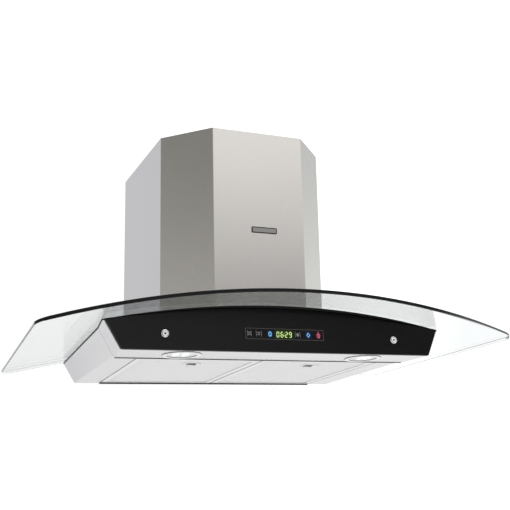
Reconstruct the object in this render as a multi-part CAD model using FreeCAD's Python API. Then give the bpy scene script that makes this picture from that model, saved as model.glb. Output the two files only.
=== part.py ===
import FreeCAD, Part
import math
import os
from FreeCAD import Vector

# A wall-hung range hood with an arched glass canopy. Millimetres, +Z up, the front faces -Y.
# The wall is the plane y = 0. The origin is the centre of the four wall holes.

# ---- driving dimensions: place of the whole ----
wall_centre_height = 250.0      # wall holes' centre above the underside's rear edge
canopy_tilt = 3.7               # degrees, front edge up
underside_setback = 74.7        # underside's rear edge to the wall

# ---- glass canopy ----
glass_half_width = 450.0
glass_thickness = 6.0
glass_bend_radius = 1750.0      # of its underside
glass_crown = 80.3              # underside at the middle, above the body's underside
glass_front = 554.5             # front edge at the middle, ahead of the underside's rear edge
glass_front_corner = 511.5      # front edge at the sides
glass_rear = -61.5
glass_corner_radius = 25.0
glass_rear_corner_radius = 55.0
glass_edge_round = 1.5
notch_half_width = 150.0
notch_front = 250.0
notch_radius = 20.0

# ---- body ----
sheet = 1.0
body_seam = 352.0               # side panels end and the fascia begins
body_front = 441.0              # control panel's front face at its bottom edge
top_half_rear = 314.0
body_flare = 8.0                # the body's top widens from the wall to the seam
fascia_flare = 9.0              # and from the seam to the front
top_half_seam = top_half_rear + body_flare
top_half_front = top_half_seam + fascia_flare
bottom_half_rear = 299.5
bottom_half_seam = 294.0
bottom_half_front = 303.0
strip_drop = 3.0                # lamp strip below the rest of the underside
body_height = 110.0             # taller than the arch, which then trims it
gasket_thickness = 2.5
gasket_width = 12.0
deck_hole_half_width = 112.0
deck_hole_rear = -40.0
deck_hole_front = 215.0

# ---- filters ----
aperture_half_width = 249.0
aperture_rear = 9.0
aperture_front = 328.0
rear_rail_depth = 7.0           # box rail along the underside's rear edge
rear_rail_drop = 2.5
filter_gap = 2.0                # round each filter
filter_seam = 3.0               # between the two filters
filter_thickness = 8.0
filter_rail = 12.0
filter_skin = 1.0
mesh_clearance = 0.2
mesh_sheet = 0.5                # the two outer layers of the mesh pack
hook_thickness = 1.0
hook_width = 20.0
hook_reach = 6.0
hook_spacing = 150.0
cup_length = 34.0
cup_width = 22.0
cup_from_front = 55.0
cup_depth = 5.0
slot_length = 17.0
slot_width = 6.0
catch_width = 10.0
catch_thickness = 2.0
catch_play = 0.1
rest_gap = 0.3                  # between pieces of different bodies at rest
rail_width = 20.0               # centre rail that the filters close against
rail_overlap = 6.0              # its ends stand this far onto the pan
dish_radius = 60.0
dish_depth = 1.6

# ---- control panel ----
panel_lean = 6.28               # degrees, top edge back
panel_thickness = 5.0
panel_half_bottom = 300.0
panel_half_top = 328.0
panel_top_at = 53.0             # height up the panel where panel_half_top is taken
panel_corner_radius = 3.0
panel_glass_gap = 0.5
cap_screw_x = 225.5
cap_screw_up = 28.2
cap_radius = 7.4
cap_height = 3.0
cap_shank_radius = 4.0
hole_clearance = 0.3
window_half_width = 100.0
window_low = 16.0
window_high = 58.0
display_half_width = 78.0
display_up = 35.2
display_height = 24.0
display_depth = 8.0
board_thickness = 1.6
board_half_width = 95.0
board_height = 44.0
cover_margin = 12.0
cover_wall = 2.0
cover_depth = 20.0

# ---- lamps ----
lamp_x = 182.0
lamp_forward = 392.0
lamp_trim_radius = 36.0
lamp_trim_height = 1.2
lamp_hole_radius = 32.0
lamp_neck_radius = 31.7
lamp_lens_radius = 28.0
lamp_lens_thickness = 2.5
lamp_trim_lip = 1.5
lamp_cup_depth = 30.0
lamp_cup_wall = 1.0
lamp_neck_depth = 8.0
bulb_radius = 5.0
bulb_length = 18.0

# ---- chimney ----
chimney_half_width = 178.4
chimney_front_half = 96.7
chimney_front = 401.5           # from the wall
chimney_shoulder = 309.8        # where its cut-off corners begin
chimney_top = 484.3
chimney_sheet = 1.2
chimney_bend = 3.0
chimney_seat_gap = 0.3
chimney_flange = 12.0
plate_x = 9.7
plate_up = 280.0
plate_length = 54.0
plate_width = 12.2
plate_thickness = 1.2
bracket_sheet = 2.0
bracket_leg = 40.0
bracket_foot = 32.0
bracket_low = 415.0
bracket_high = 455.0
stud_radius = 2.0
stud_length = 9.0
stud_from_leg_edge = 12.0
screw_play = 0.5                # round the bracket's wall screws
nut_height = 3.2
bolt_tail = 2.0                 # past its nut or sheet

# ---- wall mount and blower box ----
mount_sheet = 2.5
mount_half_width = 162.0
mount_half_height = 105.0
wall_hole_x = 146.0
wall_hole_up = 80.0
wall_hole_radius = 4.25
box_half_width = 130.0
box_depth = 300.0
box_top = 345.0

# ---- blower: its axis runs along X ----
fan_from_wall = 152.0
fan_up = 222.0
scroll_radius = 122.0
scroll_step = 8.0
scroll_wall = 2.0
scroll_half_width = 47.0
tongue_angle = 65.0
volute_flange = 8.0
volute_flange_run = 100.0
inlet_radius = 60.0
inlet_ring_width = 12.0
inlet_ring_height = 9.0
inlet_ring_sheet = 1.5
impeller_radius = 78.0
blade_depth = 13.0
blade_thickness = 1.0
blade_count = 36
impeller_half_width = 38.0
impeller_disc = 1.5             # back disc and front rim
hub_radius = 12.0
hub_length = 18.0
shaft_grip = 20.0               # shaft inside the hub
shaft_radius = 4.0
running_clearance = 0.05
motor_radius = 46.0
motor_length = 58.0
motor_wall = 3.0
motor_edge_round = 6.0
motor_flange_radius = 66.0
motor_flange_thickness = 2.5
motor_hole_radius = 20.0
rotor_radius = 28.0
rotor_length = 34.0
air_gap = 0.6
motor_screw_circle = 58.0
motor_screw_radius = 2.0
motor_screw_count = 3

# ---- outlet collar and its flaps ----
collar_radius = 75.0
collar_wall = 1.5
collar_height = 50.0
collar_flange = 14.0
collar_flange_thickness = 1.2
collar_screw_count = 4
screw_shank = 1.8
scroll_clearance = 6.0          # between the collar and the scroll's front wall
collar_centre = -(mount_sheet + box_depth - sheet - scroll_wall - collar_radius - scroll_clearance)
pin_radius = 2.0
pin_up = 18.0
boss_radius = 5.0
boss_length = 4.0
flap_clearance = 1.0
flap_thickness = 1.2
knuckle_radius = 4.0
knuckle_length = 14.0
knuckle_gap = 0.3
knuckle_offset = 10.0           # front flap's inner knuckle, right of the middle

# ---- electrics ----
control_box_width = 32.0
control_box_depth = 120.0
control_box_height = 60.0
control_box_from_wall = 60.0
control_box_up = 150.0
control_box_wall = 2.0
control_box_corner = 3.0
capacitor_radius = 14.0
capacitor_length = 50.0
clip_thickness = 1.0
clip_width = 12.0
clip_tab = 26.0
gland_radius = 8.0
gland_bore = 4.0
gland_length = 14.0
gland_inside = 4.0              # of its length, below the control box's top
gland_nut_height = 5.0
gland_nut_grip = 3.0
gland_setback = 20.0            # behind it to the control box's rear face

bolt_radius = 3.0
bolt_head_radius = 6.0
bolt_head_height = 3.0
bolt_x = 255.0
bolt_rows = (15.0, 170.0, 325.0)
arch_slack = 0.03               # flat pieces keep this much off the arch
nut_radius = 5.5
screw_head_radius = 3.6
screw_head_height = 2.2
washer_radius = 9.0
washer_thickness = 1.0

far = 2000.0                    # beyond everything, for cutting


def box(x0, x1, y0, y1, z0, z1):
    return Part.makeBox(x1 - x0, y1 - y0, z1 - z0, Vector(x0, y0, z0))


def rod(x, y, z, radius, length, axis="z"):
    direction = {"x": Vector(1, 0, 0), "y": Vector(0, 1, 0), "z": Vector(0, 0, 1)}[axis]
    return Part.makeCylinder(radius, length, Vector(x, y, z), direction)


def ring(x, y, z, outer, inner, length, axis="z"):
    return rod(x, y, z, outer, length, axis).cut(rod(x, y, z, inner, length, axis))


def hexagon(x, y, z, radius, length, axis="z"):
    corners = []
    for step in range(7):
        angle = math.radians(60.0 * step)
        a = radius * math.cos(angle)
        b = radius * math.sin(angle)
        corners.append({"x": Vector(x, y + a, z + b), "y": Vector(x + a, y, z + b),
                        "z": Vector(x + a, y + b, z)}[axis])
    direction = {"x": Vector(length, 0, 0), "y": Vector(0, length, 0), "z": Vector(0, 0, length)}[axis]
    return Part.Face(Part.makePolygon(corners)).extrude(direction)


def outline(points):
    """A closed wire through (x, y, radius) corners, each rounded by its own radius."""
    count = len(points)
    trimmed = []
    for index in range(count):
        before = Vector(points[index - 1][0], points[index - 1][1], 0)
        here = Vector(points[index][0], points[index][1], 0)
        after = Vector(points[(index + 1) % count][0], points[(index + 1) % count][1], 0)
        radius = points[index][2]
        towards = (before - here).normalize()
        away = (after - here).normalize()
        half = towards.getAngle(away) / 2
        back = radius / math.tan(half) if radius else 0.0
        middle = here + (towards + away).normalize() * (radius / math.sin(half) - radius) if radius else here
        trimmed.append((here + towards * back, middle, here + away * back, radius))
    edges = []
    for index in range(count):
        start, middle, end, radius = trimmed[index]
        if radius:
            edges.append(Part.Arc(start, middle, end).toShape())
        following = trimmed[(index + 1) % count][0]
        if (following - end).Length > 1e-6:
            edges.append(Part.LineSegment(end, following).toShape())
    return Part.Wire(edges)


def slab(points, z0, z1):
    shape = Part.Face(outline(points)).extrude(Vector(0, 0, z1 - z0))
    shape.translate(Vector(0, 0, z0))
    return shape


def rounded_box(x0, x1, y0, y1, z0, z1, radius):
    return slab([(x0, y0, radius), (x1, y0, radius), (x1, y1, radius), (x0, y1, radius)], z0, z1)


def mirrored(shape):
    return shape.mirror(Vector(0, 0, 0), Vector(1, 0, 0))


def both(shape):
    return Part.makeCompound([shape, mirrored(shape)])


def canopy(shape):
    """From the canopy's own frame (x, -forward, up) to the wall's."""
    placed = shape.copy()
    placed.rotate(Vector(0, 0, 0), Vector(1, 0, 0), -canopy_tilt)
    placed.translate(Vector(0, -underside_setback, 0))
    return placed


def on_panel(shape):
    """From the control panel's frame (front face y = 0, bottom edge z = 0) to the canopy's."""
    placed = shape.copy()
    placed.rotate(Vector(0, 0, 0), Vector(1, 0, 0), -panel_lean)
    placed.translate(Vector(0, -body_front, -strip_drop))
    return placed


def save(node, shape):
    placed = shape.copy()
    placed.translate(Vector(0, 0, -wall_centre_height))
    placed.exportStep("parts/" + node + ".step")


def save_pair(node, right_shape):
    save(node + "_right", right_shape)
    save(node + "_left", mirrored(right_shape))


def under_arch(drop):
    """Everything under the glass's underside, lowered by drop, in the canopy's frame."""
    centre = glass_crown - glass_bend_radius
    return rod(0, -far, centre, glass_bend_radius - drop, 2 * far, "y")


def arch_height(x, drop):
    radius = glass_bend_radius - drop
    return glass_crown - glass_bend_radius + math.sqrt(radius * radius - x * x)


# ---------------------------------------------------------------- glass
def front_arc_radius():
    sag = glass_front - glass_front_corner
    return (glass_half_width ** 2 + sag ** 2) / (2 * sag)


def glass_outline():
    radius = front_arc_radius()
    centre = glass_front - radius
    corner_x = glass_half_width - glass_corner_radius
    corner_v = centre + math.sqrt((radius - glass_corner_radius) ** 2 - corner_x ** 2)
    lean = math.atan2(corner_v - centre, corner_x)
    tangent = Vector(radius * math.cos(lean), -(centre + radius * math.sin(lean)), 0)
    knee = lean / 2
    middle = Vector(corner_x + glass_corner_radius * math.cos(knee),
                    -(corner_v + glass_corner_radius * math.sin(knee)), 0)
    side = Vector(glass_half_width, -corner_v, 0)
    rear_side = Vector(glass_half_width, -glass_rear - glass_rear_corner_radius, 0)
    rear = Vector(glass_half_width - glass_rear_corner_radius, -glass_rear, 0)
    diagonal = glass_rear_corner_radius * (1 - math.sqrt(0.5))
    rear_middle = Vector(glass_half_width - diagonal, -glass_rear - diagonal, 0)

    def flip(point):
        return Vector(-point.x, point.y, point.z)

    edges = [Part.Arc(flip(tangent), Vector(0, -glass_front, 0), tangent).toShape(),
             Part.Arc(tangent, middle, side).toShape(),
             Part.LineSegment(side, rear_side).toShape(),
             Part.Arc(rear_side, rear_middle, rear).toShape(),
             Part.LineSegment(rear, flip(rear)).toShape(),
             Part.Arc(flip(rear), flip(rear_middle), flip(rear_side)).toShape(),
             Part.LineSegment(flip(rear_side), flip(side)).toShape(),
             Part.Arc(flip(side), flip(middle), flip(tangent)).toShape()]
    return Part.Wire(edges)


def at_bolts(shape):
    """Copies of a shape made round the Z axis, square to the glass's underside at each bolt."""
    copies = []
    for side in (-1, 1):
        for forward in bolt_rows:
            copy = shape.copy()
            lean = math.degrees(math.asin(side * bolt_x / glass_bend_radius))
            copy.rotate(Vector(0, 0, 0), Vector(0, 1, 0), lean)
            copy.translate(Vector(side * bolt_x, -forward, arch_height(bolt_x, 0)))
            copies.append(copy)
    return copies


def bolt_holes():
    reach = 5 * glass_thickness
    return at_bolts(rod(0, 0, -reach, bolt_radius + hole_clearance, 2 * reach))


def glass_canopy():
    plan = Part.Face(glass_outline()).extrude(Vector(0, 0, far))
    plan.translate(Vector(0, 0, -far / 2))
    shape = plan.common(under_arch(-glass_thickness)).cut(under_arch(0))
    notch = rounded_box(-notch_half_width, notch_half_width, -notch_front, -glass_rear + notch_front,
                        -far / 2, far / 2, notch_radius)
    shape = shape.cut(notch)
    rims = [edge for edge in shape.Edges
            if edge.BoundBox.DiagonalLength > glass_thickness * 1.1]
    return shape.makeFillet(glass_edge_round, rims).cut(bolt_holes())


# ---------------------------------------------------------------- body
def section(bottom_half, top_half, forward_low, forward_slope, inset, low):
    """A wide-topped outline across the body. Its sides pass through the arch at top_half."""
    top_at = arch_height(top_half, gasket_thickness)
    rate = (top_half - bottom_half) / (top_at + strip_drop)
    side = math.hypot(1.0, rate) * inset

    def corner(sign, up):
        x = bottom_half + rate * (up + strip_drop) - side
        return Vector(sign * x, -(forward_low + forward_slope * up), up)

    return Part.makePolygon([corner(-1, low), corner(1, low), corner(1, body_height),
                             corner(-1, body_height), corner(-1, low)])


rear_slope = glass_rear / arch_height(top_half_rear, 0)
front_slope = -math.tan(math.radians(panel_lean))


def shell_front(inset):
    """Forward place of the fascia's front face at the underside, inset by a thickness."""
    return body_front + front_slope * strip_drop - panel_thickness / math.cos(
        math.radians(panel_lean)) - inset


def body_core(inset, low, behind=0.0, ahead=0.0):
    rear = section(bottom_half_rear, top_half_rear, -behind, rear_slope, inset, low)
    seam = section(bottom_half_seam, top_half_seam, body_seam + ahead, 0.0, inset, low)
    return Part.makeLoft([rear, seam], True, True)


def fascia_core(inset, low, behind=0.0):
    seam = section(bottom_half_seam, top_half_seam, body_seam - behind, 0.0, inset, low)
    front = section(bottom_half_front, top_half_front, shell_front(inset), front_slope, inset, low)
    return Part.makeLoft([seam, front], True, True)


def below(level):
    return box(-far, far, -far, far, -far, level)


def deck_holes(shape):
    hole = rounded_box(-deck_hole_half_width, deck_hole_half_width, -deck_hole_front,
                       -deck_hole_rear, -far / 2, far / 2, notch_radius)
    return shape.cut(hole).cut(bolt_holes())


def body_pieces():
    outside = body_core(0, 0).common(under_arch(gasket_thickness))
    deck = deck_holes(outside.cut(under_arch(gasket_thickness + sheet)))
    rest = outside.common(under_arch(gasket_thickness + sheet))
    pan = rest.common(below(sheet))
    rest = rest.cut(below(sheet))
    back_inner = body_core(-sheet, -sheet, behind=-sheet, ahead=sheet)
    back = rest.cut(back_inner)
    rest = rest.common(back_inner)
    walls = rest.cut(body_core(sheet, -sheet, behind=sheet, ahead=sheet))
    right = max(walls.Solids, key=lambda solid: solid.CenterOfMass.x)
    aperture = box(-aperture_half_width, aperture_half_width, -aperture_front, -aperture_rear, -1, 3)
    rail = box(-aperture_half_width, aperture_half_width, -rear_rail_depth, 0, -rear_rail_drop, 0)
    pan = pan.cut(aperture).fuse(rail).removeSplitter()
    return {"top_deck": deck, "bottom_pan": pan, "back_panel": back, "side_panel": right}


def centre_rail():
    """A folded channel between the filters, from the pan's rear lip to its front lip."""
    low = filter_thickness + rest_gap
    half = rail_width / 2
    front = -aperture_front - rail_overlap
    rear = -aperture_rear + rail_overlap
    web = box(-half, half, front, rear, low, low + sheet)
    ends = [box(-half, half, front, front + sheet, sheet, low),
            box(-half, half, rear - sheet, rear, sheet, low)]
    return web.fuse(ends).removeSplitter()


def fascia_pieces():
    outside = fascia_core(0, -strip_drop).common(under_arch(gasket_thickness))
    inside = fascia_core(sheet, -strip_drop - sheet, behind=sheet)
    inside = inside.common(under_arch(gasket_thickness + sheet)).cut(below(-strip_drop + sheet))
    shell = outside.cut(inside)
    strip = shell.common(below(-strip_drop + sheet))
    frame = shell.cut(below(-strip_drop + sheet))
    for side in (-1, 1):
        strip = strip.cut(rod(side * lamp_x, -lamp_forward, -strip_drop - 1, lamp_hole_radius, 4))
        hole = rod(side * cap_screw_x, 0, cap_screw_up, cap_shank_radius + hole_clearance, 20, "y")
        frame = frame.cut(on_panel(hole))
    window = box(-window_half_width, window_half_width, 0, 20, window_low, window_high)
    return frame.cut(on_panel(window)), strip


def gasket():
    """Rubber under the glass: a band round the body's top edge and a pad at each bolt."""
    layer = under_arch(0).cut(under_arch(gasket_thickness))
    outside = body_core(0, 0).fuse(fascia_core(0, 0)).common(layer)
    inner = body_core(gasket_width, -1, behind=-gasket_width, ahead=sheet)
    inner = inner.fuse(fascia_core(gasket_width, -1, behind=sheet))
    band = outside.cut(inner).removeSplitter()
    reach = 2 * gasket_thickness
    pads = at_bolts(ring(0, 0, -reach, washer_radius, bolt_radius + hole_clearance, 2 * reach))
    return Part.makeCompound(band.Solids + [pad.common(layer) for pad in pads])


def glass_bolts():
    """Heads and washers above the glass, nuts under the deck."""
    above = glass_thickness + washer_thickness
    under = -gasket_thickness - sheet - arch_slack
    bolt = rod(0, 0, under - nut_height - bolt_tail, bolt_radius,
               above - under + nut_height + bolt_tail)
    head = rod(0, 0, above, bolt_head_radius, bolt_head_height)
    socket = hexagon(0, 0, above + bolt_head_height / 2, bolt_radius, bolt_head_height)
    bolt = bolt.fuse(head.makeFillet(bolt_head_height / 3, [head.Edges[0]])).cut(socket)
    washer = ring(0, 0, glass_thickness + arch_slack, washer_radius, bolt_radius,
                  washer_thickness - arch_slack)
    nut = hexagon(0, 0, under - nut_height, nut_radius, nut_height)
    nut = nut.cut(rod(0, 0, under - nut_height, bolt_radius, nut_height))
    return [Part.makeCompound(at_bolts(piece)) for piece in (bolt, washer, nut)]


# ---------------------------------------------------------------- control panel
def control_panel():
    rate = (panel_half_top - panel_half_bottom) / panel_top_at
    top = body_height
    corners = [(-panel_half_bottom, 0, panel_corner_radius), (panel_half_bottom, 0, panel_corner_radius),
               (panel_half_bottom + rate * top, top, 0), (-panel_half_bottom - rate * top, top, 0)]
    plate = slab(corners, 0, panel_thickness)
    plate.rotate(Vector(0, 0, 0), Vector(1, 0, 0), 90)
    plate.translate(Vector(0, panel_thickness, 0))
    for side in (-1, 1):
        plate = plate.cut(rod(side * cap_screw_x, -1, cap_screw_up,
                              cap_shank_radius + hole_clearance, panel_thickness + 2, "y"))
    return on_panel(plate).common(under_arch(panel_glass_gap))


def panel_screws():
    screws, nuts = [], []
    behind = panel_thickness + sheet
    for side in (-1, 1):
        head = rod(side * cap_screw_x, -cap_height, cap_screw_up, cap_radius, cap_height, "y")
        head = head.makeFillet(cap_height / 2, [edge for edge in head.Edges
                                                if abs(edge.BoundBox.YMin + cap_height) < 0.01
                                                and edge.BoundBox.YLength < 0.01])
        shank = rod(side * cap_screw_x, 0, cap_screw_up, cap_shank_radius,
                    behind + nut_height + bolt_tail, "y")
        screws.append(on_panel(head.fuse(shank)))
        nut = hexagon(side * cap_screw_x, behind, cap_screw_up, nut_radius + cap_shank_radius / 2,
                      nut_height, "y")
        nuts.append(on_panel(nut.cut(rod(side * cap_screw_x, behind, cap_screw_up, cap_shank_radius,
                                         nut_height, "y"))))
    return Part.makeCompound(screws), Part.makeCompound(nuts)


def display_pieces():
    face = panel_thickness
    half = display_height / 2
    module = box(-display_half_width, display_half_width, face, face + display_depth,
                 display_up - half, display_up + half)
    board_face = face + display_depth
    board = box(-board_half_width, board_half_width, board_face, board_face + board_thickness,
                display_up - board_height / 2, display_up + board_height / 2)
    outer_x = window_half_width + cover_margin
    cover = box(-outer_x, outer_x, face + sheet, face + sheet + cover_depth,
                window_low - cover_margin, window_high + cover_margin)
    inside = box(-outer_x + cover_wall, outer_x - cover_wall, face + sheet,
                 face + sheet + cover_depth - cover_wall,
                 window_low - cover_margin + cover_wall, window_high + cover_margin - cover_wall)
    cover = cover.cut(inside)
    post_length = face + sheet + cover_depth - cover_wall - board_face - board_thickness
    posts = []
    for side in (-1, 1):
        for up in (-1, 1):
            posts.append(rod(side * (board_half_width - 6), board_face + board_thickness,
                             display_up + up * (board_height / 2 - 6), 3.0, post_length, "y"))
    return on_panel(module), on_panel(board), on_panel(cover.fuse(posts).removeSplitter())


# ---------------------------------------------------------------- lamps
def lamp_pieces():
    x, y = lamp_x, -lamp_forward
    face = -strip_drop
    flange = ring(x, y, face - lamp_trim_height, lamp_trim_radius, lamp_lens_radius - lamp_trim_lip,
                  lamp_trim_height)
    rim = [edge for edge in flange.Edges if abs(edge.BoundBox.ZMin - face + lamp_trim_height) < 0.01
           and edge.BoundBox.ZLength < 0.01]
    flange = flange.makeFillet(lamp_trim_height / 2, rim)
    neck = ring(x, y, face, lamp_neck_radius, lamp_lens_radius + running_clearance,
                lamp_neck_depth)
    trim = flange.fuse(neck).removeSplitter()
    lens = rod(x, y, face, lamp_lens_radius, lamp_lens_thickness)
    top = face + lamp_neck_depth
    cup = rod(x, y, top, lamp_neck_radius, lamp_cup_depth)
    hollow = rod(x, y, top, lamp_neck_radius - lamp_cup_wall, lamp_cup_depth - lamp_cup_wall)
    cup = cup.cut(hollow)
    socket_top = top + lamp_cup_depth - lamp_cup_wall
    bulb = rod(x, y, socket_top - bulb_length, bulb_radius, bulb_length)
    bulb = bulb.makeFillet(bulb_radius * 0.9, [edge for edge in bulb.Edges
                                               if abs(edge.BoundBox.ZMin - socket_top + bulb_length) < 0.01
                                               and edge.BoundBox.ZLength < 0.01])
    return {"lamp_trim": trim, "lamp_lens": lens, "lamp_housing": cup, "lamp_bulb": bulb}


# ---------------------------------------------------------------- filters
def filter_pieces():
    """The right filter. Its rear tabs hook over the pan's rear lip and its catch faces the front lip."""
    inner = filter_seam / 2
    outer = aperture_half_width - filter_gap
    rear = aperture_rear + filter_gap
    front = aperture_front - filter_gap
    middle = (inner + outer) / 2
    frame = rounded_box(inner, outer, -front, -rear, 0, filter_thickness, 2.0)
    opening = box(inner + filter_rail, outer - filter_rail, -front + filter_rail, -rear - filter_rail,
                  -1, filter_thickness + 1)
    channel = box(inner + filter_skin, outer - filter_skin, -front + filter_skin, -rear - filter_skin,
                  filter_skin, filter_thickness - filter_skin)
    frame = frame.cut(opening).cut(channel)
    low = sheet + rest_gap
    for side in (-1, 1):
        hook_x = middle + side * hook_spacing / 2
        frame = frame.fuse(box(hook_x - hook_width / 2, hook_x + hook_width / 2, -rear - filter_skin,
                               -aperture_rear + hook_reach, low, low + hook_thickness))
    edge = filter_skin + mesh_clearance
    layers = [box(inner + edge, outer - edge, -front + edge, -rear - edge, low_face, low_face + mesh_sheet)
              for low_face in (edge, filter_thickness - edge - mesh_sheet)]
    cup_y = -front + cup_from_front
    half_x, half_y = cup_length / 2, cup_width / 2
    cup_hole = rounded_box(middle - half_x, middle + half_x, cup_y - half_y, cup_y + half_y,
                           -1, filter_thickness + 1, half_y - 1)
    mesh = Part.makeCompound(layers).cut(cup_hole)
    cup = rounded_box(middle - half_x, middle + half_x, cup_y - half_y, cup_y + half_y,
                      0, filter_thickness, half_y - 1)
    dish = Part.makeSphere(dish_radius, Vector(middle, cup_y, dish_depth - dish_radius))
    slot = rounded_box(middle - slot_length / 2, middle + slot_length / 2, cup_y - slot_width / 2,
                       cup_y + slot_width / 2, -1, cup_depth, slot_width / 2 - 0.1)
    # the catch: a strip that slides back through the mesh, the front rail and the cup's front wall
    catch_low = edge + mesh_sheet + 2 * catch_play
    tip = -aperture_front + rest_gap
    catch = box(middle - catch_width / 2, middle + catch_width / 2, tip, cup_y + slot_width / 2 - 1.0,
                catch_low, catch_low + catch_thickness)
    tunnel = box(middle - catch_width / 2 - catch_play, middle + catch_width / 2 + catch_play,
                 -front - 1, cup_y + slot_width / 2, catch_low - catch_play,
                 catch_low + catch_thickness + catch_play)
    back_room = box(middle - catch_width / 2 - catch_play, middle + catch_width / 2 + catch_play,
                    cup_y, cup_y + half_y - 2.0, catch_low - catch_play,
                    catch_low + catch_thickness + catch_play)
    cup = cup.cut(dish).cut(slot).cut(tunnel).cut(back_room)
    return {"filter_frame": frame.cut(tunnel), "filter_mesh": mesh, "pull_cup": cup,
            "filter_catch": catch}


# ---------------------------------------------------------------- chimney
def chimney_plan(inset, behind):
    """The cover's outline from above. Each corner steps in along the line that halves its bend."""
    front_turn = math.atan2(chimney_front - chimney_shoulder, chimney_half_width - chimney_front_half)
    side_turn = math.pi / 2 - front_turn
    side = chimney_half_width - inset
    shoulder = chimney_shoulder - inset * math.tan(side_turn / 2)
    front_half = chimney_front_half - inset * math.tan(front_turn / 2)
    front = chimney_front - inset
    bend = chimney_bend - inset
    return [(-side, behind, 0), (-side, -shoulder, bend), (-front_half, -front, bend),
            (front_half, -front, bend), (side, -shoulder, bend), (side, behind, 0)]


def above_glass(shape, gap):
    return shape.cut(canopy(under_arch(-glass_thickness - gap)))


def chimney_pieces():
    cover = slab(chimney_plan(0, 0), 0, chimney_top)
    cover = cover.cut(slab(chimney_plan(chimney_sheet, 10.0), -1, chimney_top + 1))
    inner = chimney_half_width - chimney_sheet
    stud_y = -bracket_leg + stud_from_leg_edge
    studs = []
    for side in (-1, 1):
        x0, x1 = sorted((side * inner, side * (inner - chimney_flange)))
        cover = cover.fuse(box(x0, x1, -chimney_sheet, 0, 0, bracket_low - 10))
        up = (bracket_low + bracket_high) / 2
        start = inner - stud_length if side > 0 else -inner
        studs.append(rod(start, stud_y, up, stud_radius, stud_length, "x"))
    cover = above_glass(cover, chimney_seat_gap).fuse(studs).removeSplitter()
    plate = rounded_box(plate_x - plate_length / 2, plate_x + plate_length / 2,
                        -plate_width / 2, plate_width / 2, 0, plate_thickness, 1.5)
    plate.rotate(Vector(0, 0, 0), Vector(1, 0, 0), 90)
    plate.translate(Vector(0, -chimney_front, plate_up))
    leg_x = inner - bracket_sheet
    leg = box(leg_x, inner, -bracket_leg, -bracket_sheet, bracket_low, bracket_high)
    foot = box(leg_x - bracket_foot, inner, -bracket_sheet, 0, bracket_low, bracket_high)
    bracket = leg.fuse(foot).removeSplitter()
    up = (bracket_low + bracket_high) / 2
    bracket = bracket.cut(rod(leg_x - 1, stud_y, up, stud_radius, bracket_sheet + 2, "x"))
    bracket = bracket.cut(rod(leg_x - bracket_foot / 2, -bracket_sheet - 1, up, stud_radius + screw_play,
                              bracket_sheet + 2, "y"))
    nut = hexagon(leg_x - nut_height, stud_y, up, screw_head_radius, nut_height, "x")
    nut = nut.cut(rod(leg_x - nut_height, stud_y, up, stud_radius, nut_height, "x"))
    return cover, plate, bracket, both(nut)


# ---------------------------------------------------------------- wall mount and blower box
def wall_mount():
    plate = box(-mount_half_width, mount_half_width, -mount_sheet, 0,
                wall_centre_height - mount_half_height, wall_centre_height + mount_half_height)
    for side in (-1, 1):
        for up in (-1, 1):
            plate = plate.cut(rod(side * wall_hole_x, -mount_sheet - 1,
                                  wall_centre_height + up * wall_hole_up, wall_hole_radius,
                                  mount_sheet + 2, "y"))
    return plate


def collar_screw_places():
    reach = collar_radius + collar_flange / 2
    return [(reach * math.cos(math.radians(45 + 360 / collar_screw_count * index)),
             collar_centre + reach * math.sin(math.radians(45 + 360 / collar_screw_count * index)))
            for index in range(collar_screw_count)]


def blower_box():
    front = -mount_sheet - box_depth
    shell = box(-box_half_width, box_half_width, front, -mount_sheet, 0, box_top)
    shell = shell.cut(box(-box_half_width + sheet, box_half_width - sheet, front + sheet,
                          -mount_sheet - sheet, -1, box_top - sheet))
    shell = shell.cut(canopy(under_arch(gasket_thickness)))
    shell = shell.cut(rod(0, collar_centre, box_top - 2, collar_radius - collar_wall, 4))
    for x, y in collar_screw_places():
        shell = shell.cut(rod(x, y, box_top - 2, screw_shank, 4))
    return shell


# ---------------------------------------------------------------- volute and fan
def scroll_face(offset, top):
    """The scroll's outline in the plane X = 0: four shrinking arcs, then up to the outlet."""
    y0 = -fan_from_wall
    z0 = fan_up
    first = scroll_radius + offset
    second = first - scroll_step
    third = second - scroll_step
    fourth = third - scroll_step

    def at(cy, cz, radius, degrees):
        angle = math.radians(degrees)
        return Vector(0, cy - radius * math.cos(angle), cz + radius * math.sin(angle))

    def arc(cy, cz, radius, begin, end):
        return Part.Arc(at(cy, cz, radius, begin), at(cy, cz, radius, (begin + end) / 2),
                        at(cy, cz, radius, end)).toShape()

    back = y0 + scroll_step
    low = z0 - scroll_step
    edges = [arc(y0, z0, first, 0, -90), arc(y0, low, second, -90, -180),
             arc(back, low, third, -180, -270), arc(back, z0, fourth, -270, -270 - 90 + tongue_angle)]
    tongue = at(back, z0, fourth, -360 + tongue_angle)
    start = at(y0, z0, first, 0)
    edges.append(Part.LineSegment(tongue, Vector(0, tongue.y, top)).toShape())
    edges.append(Part.LineSegment(Vector(0, tongue.y, top), Vector(0, start.y, top)).toShape())
    edges.append(Part.LineSegment(Vector(0, start.y, top), start).toShape())
    return Part.Face(Part.Wire(edges))


def motor_screw_places():
    for index in range(motor_screw_count):
        angle = math.radians(90 + 360 / motor_screw_count * index)
        yield (-fan_from_wall + motor_screw_circle * math.cos(angle),
               fan_up + motor_screw_circle * math.sin(angle))


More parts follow.
